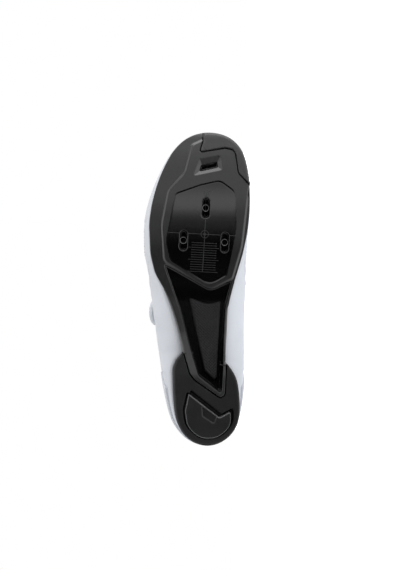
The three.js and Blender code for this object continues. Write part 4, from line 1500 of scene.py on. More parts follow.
    def patch(
        self, outline: Outline, pitch: float, low: Height, high: Height, marks: Marks | None = None
    ) -> Surface:
        """A closed piece over a plain square grid, where its underside is below its top.

        Args:
            outline: the outline that the piece fills.
            pitch: the grid's pitch.
            low: the underside's height.
            high: the top's height.
            marks: named numbers for flat points of the underside.

        Returns:
            The surface.
        """
        near, far = outline.points.min(0) - 1, outline.points.max(0) + 1
        axes = [np.arange(a, b + pitch, pitch) for a, b in zip(near, far)]
        flat = np.stack(np.meshgrid(*axes, indexing="ij"), -1)
        top = high(flat)
        bottom = np.minimum(low(flat), top)
        thick = top - bottom > THIN
        keep = touched(thick)
        given = marks(flat) if marks else None
        under = Surface.grid(raised(flat, np.where(thick, bottom, top)), keep=keep, marks=given)
        return Surface.join([under, Surface.grid(raised(flat, top), keep=keep).flipped()])

    def lift_low(self, flat: Array) -> Array:
        """The lift's face, dished, with its edges drawn up to its top.

        Args:
            flat: the flat points.

        Returns:
            The heights.
        """
        shape = below(HEEL_LIFT)
        face = self.last.tread(flat[..., 0]) - self.lift_proud
        face = face + self.lift_dish * below(LIFT_HOLLOW).inside(flat, 1.0)
        face = face + self.edge_cut * (1 - shape.inside(flat, 1.0, -0.2))
        return mix(self.lift_top, face, shape.inside(flat, 0.7, 0.1))

    def painted_edge_highlight(self, flat: Array) -> dict[str, Array]:
        """A pale highlight painted on the lift's rim, and a fainter one round its hollow."""
        rim, inner = (below(shape).distance(flat) for shape in (HEEL_LIFT, LIFT_HOLLOW))
        # Painted highlight: a pale line just inside the lift's rim, fainter inside its hollow.
        return {"edge": np.maximum(bell(rim, -0.45, 0.4), 0.16 * bell(inner, -0.3, 0.5))}

    def build_heel_lift(self) -> None:
        """The bolted lift, proud of the pad."""
        lift = self.patch(below(HEEL_LIFT), 0.32, self.lift_low, level(self.lift_top), self.painted_edge_highlight)
        self.shop.add("heel_lift_rubber", lift, RUBBER, ["heel_lift"])

    def inlay_top(self, flat: Array) -> Array:
        """Height of the inlay's top, which lies under the floor of the hollow."""
        return self.last.hollow(flat[..., 0]) - self.gap

    def inlay_low(self, flat: Array) -> Array:
        """The inlay's face with two sets of slanted ribs, flat near its edge, and the edge drawn up.

        Args:
            flat: the flat points.

        Returns:
            The heights.
        """
        shape, (x, y) = below(INLAY), np.moveaxis(flat, -1, 0)
        ribs = np.maximum(*(np.cos(2 * math.pi * slant / self.rib_pitch) for slant in (x + y, x - y)))
        face = self.inlay_thickness + self.rib_height * ribs * shape.inside(flat, 0.6, -1.2)
        return self.inlay_top(flat) - face * shape.inside(flat, 0.7, 0.1)

    def build_inlay(self) -> None:
        """The textured inlay in the hollow under the arch, with its crossed ribs."""
        inlay = self.patch(below(INLAY), 0.33, self.inlay_low, self.inlay_top)
        self.shop.add("arch_inlay_crossed", inlay, TEXTURED, ["arch_inlay"])

    def build_nuts(self) -> None:
        """The three threaded nuts behind the slots."""
        bore, wall, top, seat = 2.5, 3.1, self.nut_top, self.nut_seat + self.gap + self.nut_deeper
        corners = [
            (0, top, 0), (bore, top, 0.1), (bore, 3.6, 0.2), (wall, 3.5, 0.3), (wall, seat, 0.1),
            (5.8, seat, 0.1), (5.8, seat + 1.5, 0.1), (0, seat + 1.5, 0),
        ]  # fmt: skip
        nut = lathe(rounded_profile(corners, 3), 40)
        for name, (x, y) in zip(("front", "medial", "lateral"), self.from_bolts(self.bolts())):
            placed = nut.copies(np.array([[[1, 0, 0, x], [0, 1, 0, y], [0, 0, 1, 0]]], float))
            self.shop.add(f"cleat_nut_{name}_threaded", placed, STEEL, [f"cleat_nut_{name}"])

    def ridges(self, starts: Array, ends: Array, width: float, height: float, steps: int) -> Surface:
        """Raised lines that lie on the plate, each a round profile carried from start to end.

        Args:
            starts: flat start points in the cleat pattern's frame.
            ends: flat end points there.
            width: the line's width.
            height: how far it stands out.
            steps: points along a line.

        Returns:
            All the lines as one surface.
        """
        starts, ends = self.from_bolts(starts), self.from_bolts(ends)
        run = ends - starts
        side = np.stack([-run[:, 1], run[:, 0]], -1) / np.linalg.norm(run, axis=1, keepdims=True)
        turn = np.linspace(0, 2 * math.pi, 9)
        middle = starts[:, None] + run[:, None] * np.linspace(0, 1, steps)[:, None]
        flat = middle[:, :, None] + side[:, None, None] * (np.cos(turn) * width / 2)[:, None]
        points = raised(flat, self.plate_low(middle)[:, :, None] - height * np.sin(turn))
        centre = points[:, :, :-1].mean(2, keepdims=True).repeat(len(turn), 2)
        points = np.concatenate([centre[:, :1], points, centre[:, -1:]], 1)
        return Surface.join([Surface.grid(p) for p in points])

    def scale(self, along: Array, reach: Array, width: float, height: float, steps: int) -> Surface:
        """Raised lines across the cleat pattern, each as far to both sides."""
        low, high = (np.stack([along, sign * reach], -1) for sign in (-1, 1))
        return self.ridges(low, high, width, height, steps)

    def build_marks(self) -> None:
        """The raised setting marks of the cleat: a cross, circles and two scales."""
        spans = np.array(CROSS)
        parts = [self.ridges(spans[:, 0], spans[:, 1], width=0.5, height=0.12, steps=40)]
        row = np.arange(13)
        reach = np.where(row % 5 == 2, self.ruler_long, self.ruler_reach)
        parts.append(self.scale(-1.5 - self.ruler_pitch * row, reach, width=0.4, height=0.08, steps=16))
        row = np.arange(5)
        along = self.fine_start - self.fine_pitch * row
        reach = np.where(row == 0, self.fine_long, self.fine_reach)
        parts.append(self.scale(along, reach, width=0.45, height=0.16, steps=8))
        for radius in self.ring_radii:
            ring = self.from_bolts(circle(radius, 48) + CROSS_MIDDLE)
            path = raised(ring, self.plate_low(ring))
            parts.append(sweep(path, path - path.mean(0), circle(1.0, 8) * [0.2, 0.1], closed=True))
        self.shop.add("cleat_setting_marks", Surface.join(parts), MARKS)

    def build(self) -> None:
        """Builds every piece of the sole."""
        self.build_plate()
        self.build_toe_pad()
        self.build_heel_pad()
        self.build_heel_lift()
        self.build_inlay()
        self.build_nuts()
        self.build_marks()


# Outlines from the side: share of LENGTH, share of COLLAR, and the corner's radius.
COUNTER_SIDE = ((-0.1, 0.33, 0), (0.18, 0.33, 1), (0.25, 0.56, 12), (0.15, 0.68, 20), (-0.1, 0.86, 0))
COLLAR_SIDE = (
    (-0.1, 1.04, 0), (0.06, 1.0, 20), (0.145, 0.78, 24), (0.28, 0.77, 26), (0.375, 1.19, 14),
    (0.44, 1.24, 0), (0.44, 2.4, 0), (-0.1, 2.4, 0),
)  # fmt: skip
SIDE_PANEL = (
    (0.2, 0.1, 0), (0.245, 0.5, 10), (0.36, 0.62, 16), (0.46, 0.98, 14), (0.53, 0.98, 10),
    (0.5, 0.52, 24), (0.6, 0.3, 20), (0.6, 0.1, 0),
)  # fmt: skip
FLEX_PANEL = (
    (0.62, 0.42, 4), (0.7, 0.5, 8), (0.72, 0.74, 6), (0.655, 0.82, 5), (0.6, 0.76, 6), (0.585, 0.52, 6),
)  # fmt: skip

# Creases of the toe box: place along the shoe, bend, depth, width and reach across, in mm.
CREASES = (
    (203, 0.012, 0.75, 3.2, 40), (212, 0.008, 0.55, 2.8, 34), (194, 0.02, 0.6, 3.4, 46),
    (222, 0.004, 0.35, 2.6, 26), (184, 0.03, 0.4, 3.0, 48),
)  # fmt: skip


@dataclass
class Girth:
    """A net of points over the upper: stations by angles on one side, up to the upper's rim."""

    side: Side
    half: Half
    angle: Array
    rim: Array
    points: Array


@dataclass
class Upper:
    """The coated upper, its lining and collar, and the shell round the heel."""

    last: Last
    shop: Workshop
    sole: Sole
    wall: float = 2.4
    gap: float = 0.3
    overlay: float = 1.2
    sunk: float = 0.6
    counter_edge: float = 1.3
    throat_half: float = 14.5
    throat_end: float = 196.0
    throat_round: float = 14.0
    collar_front: float = 0.44
    eyestay: float = 12.0
    toe_cap: float = 234.0
    toe_bow: float = 0.014
    stitch: float = 2.6
    stitch_in: float = 1.7
    pitch: float = 0.95
    rim_blend: float = 0.09
    rim_turns: int = 8
    toe_proud: float = 0.55
    side_proud: float = 0.5
    band_proud: float = 0.4
    strap_proud: float = 0.8
    strap_margin: float = 2.0
    strap_start: float = 112.0
    strap_bow: float = 0.025
    band_height: float = 7.5
    puff: float = 0.9
    puff_at: float = 7.0
    puff_width: float = 6.5
    seam: float = 0.5
    seam_at: float = 15.5
    seam_width: float = 1.1
    sag: float = 0.35
    lining_end: float = 119.0
    lining_puff: float = 3.6
    lining_reach: float = 0.62
    insole_thickness: float = 2.8
    heel_cup: float = 3.5
    arch_rise: float = 2.5
    tongue_start: float = 86.0
    tongue_end: float = 212.0
    tongue_half: float = 24.0
    tongue_taper: float = 6.0
    tongue_depth: float = 5.2
    quilt_pitch: float = 13.0
    low_columns: int = 16
    high_columns: int = 46

    def throat(self, x: Array) -> Array:
        """Half the throat's width: even, then a half ellipse at its front end."""
        run = np.clip((x - self.throat_end + self.throat_round) / self.throat_round, 0, 1)
        return self.throat_half * np.sqrt(1 - run**2)

    def collar(self, x: Array) -> Array:
        """Height of the collar's edge, from its outline from the side.

        Args:
            x: distances from the heel.

        Returns:
            The heights.
        """
        points = beside(COLLAR_SIDE).points
        points = points[points[:, 1] < 1.3 * COLLAR]
        order = np.argsort(points[:, 0])
        return np.interp(x, points[order, 0], points[order, 1])

    def rim(self, at: Array, half: Half) -> Array:
        """Angle of the upper's edge at each station.

        The collar's edge has a height that depends on where along the shoe the edge is, so it is found
        in a few turns; the throat's edge has a distance from the spine. The lower of the two holds,
        with a rounded corner between them.

        Args:
            at: the stations.
            half: their half sections.

        Returns:
            The angles.
        """
        x = at * LENGTH
        for _ in range(self.rim_turns):
            collar = self.last.angle_at_height(half, self.collar(x))
            x = self.last.surface(half, collar, 0.0)[..., 0]
        collar = np.where(at > self.collar_front, QUARTER + 1, collar)
        throat = self.last.angle_at_across(half, self.throat(at * LENGTH))
        share = np.clip(0.5 + 0.5 * (throat - collar) / self.rim_blend, 0, 1)
        return mix(throat, collar, share) - self.rim_blend * share * (1 - share)

    def stations(self) -> Array:
        """The sole's stations, with more rows round the front of the throat."""
        extra = np.linspace(self.throat_end - self.throat_round, self.throat_end + 1, 36) / LENGTH
        return np.unique(np.concatenate([self.sole.stations(0.0, 1.0, self.pitch, 1.3), extra]))

    def net(self, side: Side, at: Array) -> Girth:
        """The net on one side: even angles under the widest line, even shares over it.

        Args:
            side: which side.
            at: the stations.

        Returns:
            The net.
        """
        half = self.last.half(at, side)
        rim = self.rim(at, half)
        wide = half.wide()
        low = np.linspace(-QUARTER, 0, self.low_columns + 1)[None, :-1]
        high = np.linspace(0, 1, self.high_columns + 1)[None] * rim[:, None]
        angle = np.concatenate([np.repeat(low, len(at), 0), high], 1)
        return Girth(side, wide, angle, rim, self.last.surface(wide, angle, 0.0))

    def creases(self, points: Array) -> Array:
        """Soft troughs where the foot bends, with a ridge on each side of them.

        Each crease is a line across the toe box, leaning back towards the sides; its depth fades
        towards the sole.

        Args:
            points: points of the plain surface.

        Returns:
            How far the surface moves out, in mm.
        """
        across = points[..., 1] - self.last.spine(points[..., 0])
        total = np.zeros(points.shape[:-1])
        for at, bend, depth, width, reach in CREASES:
            line = at - bend * across**2 + 0.8 * np.sin(across / 7 + at)
            d = (points[..., 0] - line) / width
            fade = bell(across, 0, reach, 4) * smoothstep(points[..., 2], 24, 36)
            total += depth * (0.45 * bell(np.abs(d), 1.7, 1) - bell(d, 0, 1)) * fade
        return total

    def panels(self, net: Girth) -> Array:
        """How far each overlay stands over the base: toe cap, eyestay, side panel and lasting band.

        Args:
            net: the net of the plain surface.

        Returns:
            The height of the overlays, in mm.
        """
        p = net.points
        x, z = p[..., 0], p[..., 2]
        across = np.abs(p[..., 1] - self.last.spine(x))
        seen = np.stack([x, z], -1)
        toe = soft_step(x - self.toe_cap + self.toe_bow * across**2, 0.9)
        strap = soft_step(self.throat(x) + self.eyestay + self.strap_margin - across)
        strap = strap * soft_step(self.throat_end + 11 - x - self.strap_bow * across**2)
        start = self.strap_start
        strap = strap * smoothstep(x, start, start + 1.5) * smoothstep(z, 50, 52) * (net.angle > 0)
        side = beside(SIDE_PANEL).inside(seen, 1.8, 0.9)
        band = soft_step(self.last.bed(x) + self.band_height - z)
        heights = self.toe_proud, self.side_proud, self.band_proud, self.strap_proud
        return np.maximum.reduce([h * share for h, share in zip(heights, (toe, side, band, strap))])

    def relief(self, net: Girth) -> Array:
        """Everything that moves the outside of the upper: overlays, creases, the soft collar and sag.

        Args:
            net: the net of the plain surface.

        Returns:
            How far the surface moves out, in mm.
        """
        p = net.points
        x, z = p[..., 0], p[..., 2]
        down = self.collar(x) - z
        edge = self.puff * bell(down, self.puff_at, self.puff_width)
        edge = edge - self.seam * bell(down, self.seam_at, self.seam_width)
        edge = np.where(x < self.collar_front * LENGTH - 4, edge, 0)
        soft = self.sag * np.sin(x / 17 + 2.0) * np.sin(z / 13 + p[..., 1] / 40)
        soft = soft * smoothstep(z, 26, 45) * smoothstep(x, 60, 100) * (1 - smoothstep(x, 215, 240))
        held = smoothstep(np.abs(net.angle + QUARTER), 0.0, 0.35)
        bare = 1 - beside(COUNTER_SIDE).inside(p[..., [0, 2]], 3.0, 3.5)
        return (self.panels(net) + self.creases(p) + edge + soft) * held * bare

    def shell(self, net: Girth) -> Surface:
        """One side of the upper: outside, rolled edge, inside, and the margin under the foot.

        Args:
            net: the net of the side.

        Returns:
            The side's surface, open only where it meets the other side.
        """
        outer = self.last.surface(net.half, net.angle, self.relief(net))
        inner = self.last.surface(net.half, net.angle[:, ::-2], -self.wall)
        open_rim = net.rim < QUARTER - 1e-4
        middle = (outer[:, -1] + inner[:, 0]) / 2
        across = (outer[:, -1] - inner[:, 0]) / 2
        up = unit(outer[:, -1] - outer[:, -2])
        turn = np.linspace(0, math.pi, 7)[None, 1:-1, None]
        size = np.linalg.norm(across, axis=-1)[:, None, None] * open_rim[:, None, None]
        roll = middle[:, None] + across[:, None] * np.cos(turn) + up[:, None] * np.sin(turn) * size
        ring = np.concatenate([outer, roll, inner, outer[:, :1]], 1)
        keep = np.ones((ring.shape[0] - 1, ring.shape[1] - 1), bool)
        closed = ~(open_rim[1:] | open_rim[:-1])
        first = outer.shape[1] - 1
        keep[np.ix_(closed, np.arange(first, first + 6))] = False
        return Surface.grid(ring, keep=keep).flipped(net.side is Side.LATERAL)

    def build_shell(self, nets: Sequence[Girth]) -> None:
        """The upper's shell."""
        self.shop.add("upper_shell", Surface.join([self.shell(net) for net in nets]), WHITE, ["upper"])

    def lining(self, net: Girth) -> Surface:
        """One side of the padded lining: it rolls over the edge and thins out down inside.

        Args:
            net: the net of the side.

        Returns:
            The side's surface, closed at its front end.
        """
        rows = net.half.hub[:, 0, 0] < self.lining_end
        half = Half(*(v[rows] for v in vars(net.half).values()))
        rim = net.rim[rows][:, None]
        steps = np.linspace(0, 1, 22)[None]
        angle = np.maximum(rim - self.lining_reach * steps**1.2, -0.4)
        ends = 1 - smoothstep(self.last.surface(half, angle, 0.0)[..., 0], 92, 116)
        puff = self.lining_puff * np.sin(math.pi * steps**0.75) + 0.9 * (1 - steps)
        puff = puff * (0.06 + 0.94 * ends)
        face = self.last.surface(half, angle, -self.wall - 0.15 - puff)
        top = self.last.surface(half, rim, -0.7)
        tip = self.last.surface(half, rim, -self.wall - 0.9)
        rise = np.array([0, 0, 1.6])
        rolled = np.concatenate([top, (top + tip) / 2 + rise, tip + rise * 0.7], 1)
        back = self.last.surface(half, angle[:, ::-3], -self.wall + 0.3)
        ring = np.concatenate([rolled, face, back, rolled[:, :1]], 1)
        end = np.broadcast_to(ring[-1:].mean(1, keepdims=True), ring[-1:].shape)
        return Surface.grid(np.concatenate([ring, end])).flipped(net.side is Side.LATERAL)

    def build_collar(self, nets: Sequence[Girth]) -> None:
        """The padded lining round the mouth."""
        lining = Surface.join([self.lining(net) for net in nets])
        self.shop.add("collar_lining_padded", lining, LINING, padded=0.7)

    def counter_edges(self, x: Array) -> tuple[Array, Array]:
        """Heights of the counter's lower and upper edge, which meet at its front tip.

        Args:
            x: distances from the heel.

        Returns:
            The lower and the upper heights.
        """
        points = beside(COUNTER_SIDE).points
        tip = int(np.argmax(points[:, 0]))
        low, high = points[: tip + 1], points[tip:][::-1]
        return np.interp(x, low[:, 0], low[:, 1]), np.interp(x, high[:, 0], high[:, 1])

    def build_counter(self) -> None:
        """The shell over the outside of the heel.

        Each station's points go from the lower to the upper edge in even shares, bunched up at both,
        where the thickness rises in a quarter circle from under the upper's surface. Where the points
        lie along the shoe depends on their heights, so both are found in a few turns.
        """
        tip = beside(COUNTER_SIDE).points[:, 0].max() / LENGTH
        at = self.sole.stations(0.0, tip, pitch=1.0, fan=1.1)
        edge = np.array([0, 0.1, 0.25, 0.45, 0.7, 1.0]) * self.counter_edge
        inner = np.linspace(0, 1, 42)[None, 1:-1]
        n = len(edge)
        parts = []
        for side in Side:
            wide = self.last.half(at, side).wide()
            x = (at * LENGTH)[:, None] * np.ones((1, inner.size + 2 * n))
            for _ in range(self.rim_turns):
                low, high = self.counter_edges(x)
                tall = np.maximum(high - low, 0)
                rim = np.minimum(edge, tall.min(1, keepdims=True) * 0.3)
                middle = low[:, n:-n] + rim[:, -1:] + (tall[:, n:-n] - 2 * rim[:, -1:]) * inner
                z = np.concatenate([low[:, :n] + rim, middle, (high[:, -n:] - rim[:, ::-1])], 1)
                angle = self.last.angle_at_height(wide, z)
                x = self.last.surface(wide, angle, 0.0)[..., 0]
            away = np.clip(np.minimum(z - low, high - z) / self.counter_edge, 0, 1)
            thick = (self.gap + self.overlay + self.sunk) * np.sqrt(1 - (1 - away) ** 2)
            outer = Surface.grid(self.last.surface(wide, angle, thick - self.sunk))
            under = Surface.grid(self.last.surface(wide, angle, -self.sunk)).flipped()
            parts.append(Surface.join([outer, under]).flipped(side is Side.LATERAL))
        self.shop.add("heel_counter_shell", Surface.join(parts), OVERLAY, ["heel_counter"])

    def build_insole(self) -> None:
        """The footbed: cupped round the heel, raised under the arch, with a rolled edge."""
        at = self.sole.stations(0.0, 1.0, pitch=1.4, fan=2.0)
        u = np.linspace(0, 1, 30)[None]
        halves = []
        for side in Side:
            wide = self.last.half(at, side).wide()
            flat = wide.flat((wide.foot - FEATHER - self.wall + 1.2) * u)
            x = flat[..., 0]
            cup = self.heel_cup * (1 - smoothstep(x, 60, 150)) + 0.6
            arch = self.arch_rise * bell(x, 120, 35) * (side is Side.MEDIAL)
            z = self.last.bed(x) + self.wall + self.insole_thickness + cup * u**4 + arch * u**2
            halves.append(raised(flat, z - 1.6 * np.clip((u - 0.94) / 0.06, 0, 1) ** 2))
        top = spread(halves)
        x, z = top[..., 0], top[..., 2]
        share = np.abs(np.linspace(-1, 1, top.shape[1]))
        edge = self.last.bed(x) + self.wall + self.gap
        deep = mix(edge, self.last.deck(x) + self.gap, 1 - smoothstep(share, 0.68, 0.76))
        bottom = raised(top[..., :2], mix(z, deep, smoothstep(1 - share, 0.0, 0.05)))
        insole = Surface.join([Surface.grid(top), Surface.grid(bottom).flipped()])
        self.shop.add("insole_footbed", insole, LINING, ["insole"], padded=0.8)

    def build_tongue(self) -> None:
        """The padded tongue: a pillow under the throat, quilted in rows, thicker at its top."""
        v = np.linspace(0, 1, 150)[:, None]
        u = np.linspace(-1, 1, 60)[None]
        x = mix(self.tongue_start, self.tongue_end, v) + 11.0 * (1 - v) ** 3 * u**2
        end = np.clip(np.abs(2 * v - 1), 0, 1) ** 14
        across = u * (self.tongue_half - self.tongue_taper * v) * (1 - 0.35 * end)
        full = (1 - end) ** 0.4 * (1 - np.abs(u) ** 8) ** 0.5
        seams = bell((x + 3 * u**2) % self.quilt_pitch, self.quilt_pitch / 2, 1.1)
        quilt = 1 - 0.16 * seams * (1 - u**6)
        middle = -self.tongue_depth - 1.5 * (1 - v) ** 6
        thick = (2.5 + 2.2 * (1 - v) ** 4) * full
        top = self.last.crown(x, across, 0.0)
        lean = across / np.maximum(self.last.half(x / LENGTH, Side.MEDIAL).reach, 1)
        way = np.stack([0 * lean, np.sin(lean), np.cos(lean)], -1)
        offsets = middle + thick * quilt, middle - thick
        upper, under = (Surface.grid(top + offset[..., None] * way) for offset in offsets)
        tongue = Surface.join([upper, under.flipped()])
        self.shop.add("tongue_padded", tongue, LINING, ["tongue"], padded=0.7)

    def build(self) -> None:
        """Builds every piece of the upper."""
        at = self.stations()
        nets = [self.net(side, at) for side in Side]
        self.build_shell(nets)
        self.build_collar(nets)
        self.build_counter()
        self.build_insole()
        self.build_tongue()


@dataclass
class Trim:
    """Stitch rows and pinholes on the upper, each kind one joined mesh."""

    last: Last
    shop: Workshop
    upper: Upper
    stitch_length: float = 1.7
    stitch_radius: float = 0.27
    hole_radius: float = 0.8
    hole_pitch: float = 5.2

    def frames(self, side: Side, at: Array, angle: Array) -> Array:
        """Where and how small things lie on the upper: 3 by 4 matrices with the run of the row first.

        The normal is the cross product of two small steps on the surface.

        Args:
            side: which side of the shoe.
            at: shares of LENGTH along the row.
            angle: angles along the row.

        Returns:
            The matrices.
        """

        def point(step: float, turn: float) -> Array:
            """Points of the surface near the row.

            Args:
                step: how far they are moved along the shoe, as a share of LENGTH.
                turn: how far they are moved round it.

            Returns:
                The points.
            """
            wide = self.last.half(at + step, side).wide()
            tilted = (angle + turn)[:, None]
            plain = self.last.surface(wide, tilted, 0.0)
            lift = self.upper.relief(Girth(side, wide, tilted, tilted, plain))
            return self.last.surface(wide, tilted, lift)[:, 0]

        here = point(0.0, 0.0)
        e = 2e-3
        normal = unit(np.cross(point(e, 0.0) - here, point(0.0, e) - point(0.0, -e)) * -side.value)
        run = square_to(np.gradient(here, axis=0), normal)
        return np.stack([run, np.cross(normal, run), normal, here], -1)

    def even(self, frames: Array, pitch: float) -> Array:
        """Frames at an even pitch along a row.

        Args:
            frames: the row's frames.
            pitch: distance between the new ones, the first one half of it from the start.

        Returns:
            The new frames.
        """
        run = run_along(frames[:, :, 3])
        wanted = np.arange(pitch / 2, run[-1], pitch)
        return resample(frames.reshape(len(frames), -1), run, wanted).reshape(-1, 3, 4)

    def seen(self, outline: Outline, depth: float) -> Array:
        """An outline seen from the side, moved in by a depth, at a fine even pitch.

        Args:
            outline: the outline.
            depth: how far each point moves against the slope of the distance from the outline.

        Returns:
            Two rows: distances from the heel, and heights.
        """
        closed = np.concatenate([outline.points, outline.points[:1]])
        run = run_along(closed)
        points = resample(closed, run, np.arange(0, run[-1], 0.5))
        shifts = 0.2 * np.array([(1, 0), (-1, 0), (0, 1), (0, -1)])
        steps = [outline.distance(points + shift) for shift in shifts]
        slope = unit(np.stack([steps[0] - steps[1], steps[2] - steps[3]], -1))
        return (points - depth * slope).T

    def side_row(self, side: Side, x: Array, z: Array) -> Array:
        """Frames of a row given by x and height, where sections are square to the shoe's axis."""
        return self.frames(side, x / LENGTH, self.last.angle_at_height(self.last.half(x / LENGTH, side), z))

    def top_row(self, side: Side, x: Array, across: Array) -> Array:
        """Frames of a row given by x and the distance from the spine."""
        angle = self.last.angle_at_across(self.last.half(x / LENGTH, side), across)
        return self.frames(side, x / LENGTH, angle)

    def rows(self, side: Side) -> list[Array]:
        """Every stitch row on one side, as frames before they are evenly spaced.

        Args:
            side: which side.

        Returns:
            The rows: two along the throat, one behind the toe cap and those round the side panel.
        """
        upper, rows = self.upper, []
        x = np.linspace(upper.strap_start + 2, upper.throat_end + 3, 160)
        for gap in (upper.eyestay + upper.strap_margin - upper.stitch_in, 2.4):
            across = upper.throat(x) + gap
            keep = x + upper.strap_bow * across**2 < upper.throat_end + 9.5
            rows.append(self.top_row(side, x[keep], across[keep]))
        across = np.linspace(0, 37, 90)
        rows.append(self.top_row(side, upper.toe_cap + 1.5 - upper.toe_bow * across**2, across))
        x, z = self.seen(beside(SIDE_PANEL), upper.stitch_in)
        keep = z > self.last.bed(x) + 9
        parts = np.split(np.arange(len(x)), np.flatnonzero(np.diff(keep.astype(int)) != 0) + 1)
        rows += [self.side_row(side, x[part], z[part]) for part in parts if keep[part[0]] and len(part) > 8]
        return rows

    def build_stitches(self) -> None:
        """The stitches: a short thread with rounded ends, repeated along every row."""
        along = np.array([-0.5, -0.44, -0.25, 0.25, 0.44, 0.5]) * self.stitch_length
        wide = np.array([0, 0.65, 1, 1, 0.65, 0]) * self.stitch_radius
        ring = circle(1.0, 6)[[*range(6), 0]] * [1, 0.7]
        along, wide = np.repeat(along[:, None], len(ring), 1), wide[:, None, None]
        thread = Surface.grid(np.concatenate([along[..., None], wide * ring], -1))
        frames = [self.even(row, self.upper.stitch) for side in Side for row in self.rows(side)]
        self.shop.add("stitch_rows", thread.copies(np.concatenate(frames)), THREAD)

    def build_holes(self) -> None:
        """The pinholes of the flex zones: cups painted dark as the shade inside a hole, in staggered rows,
        one joined mesh.
        """
        x, z = np.meshgrid(np.arange(168, 204, self.hole_pitch), np.arange(30, 70, self.hole_pitch / 2))
        x = x + (np.arange(len(x)) % 2)[:, None] * self.hole_pitch / 2
        flat = np.stack([x, z], -1).reshape(-1, 2)
        flat = flat[beside(FLEX_PANEL).distance(flat) < -1.5]
        ring = np.array([[0, 0.02], [0.75, 0.02], [1.0, 0.1], [1.0, -0.4], [0, -0.4]]) * [self.hole_radius, 1]
        cup = lathe(ring, 8)
        frames = [self.side_row(side, flat[:, 0], flat[:, 1]) for side in Side]
        # Painted shade: each cup is a dark disc just proud of the surface, not a hole.
        self.shop.add("pinholes_painted_shade", cup.copies(np.concatenate(frames)), SHADE)

    def build(self) -> None:
        """Builds the stitches and the pinholes."""
        self.build_stitches()
        self.build_holes()


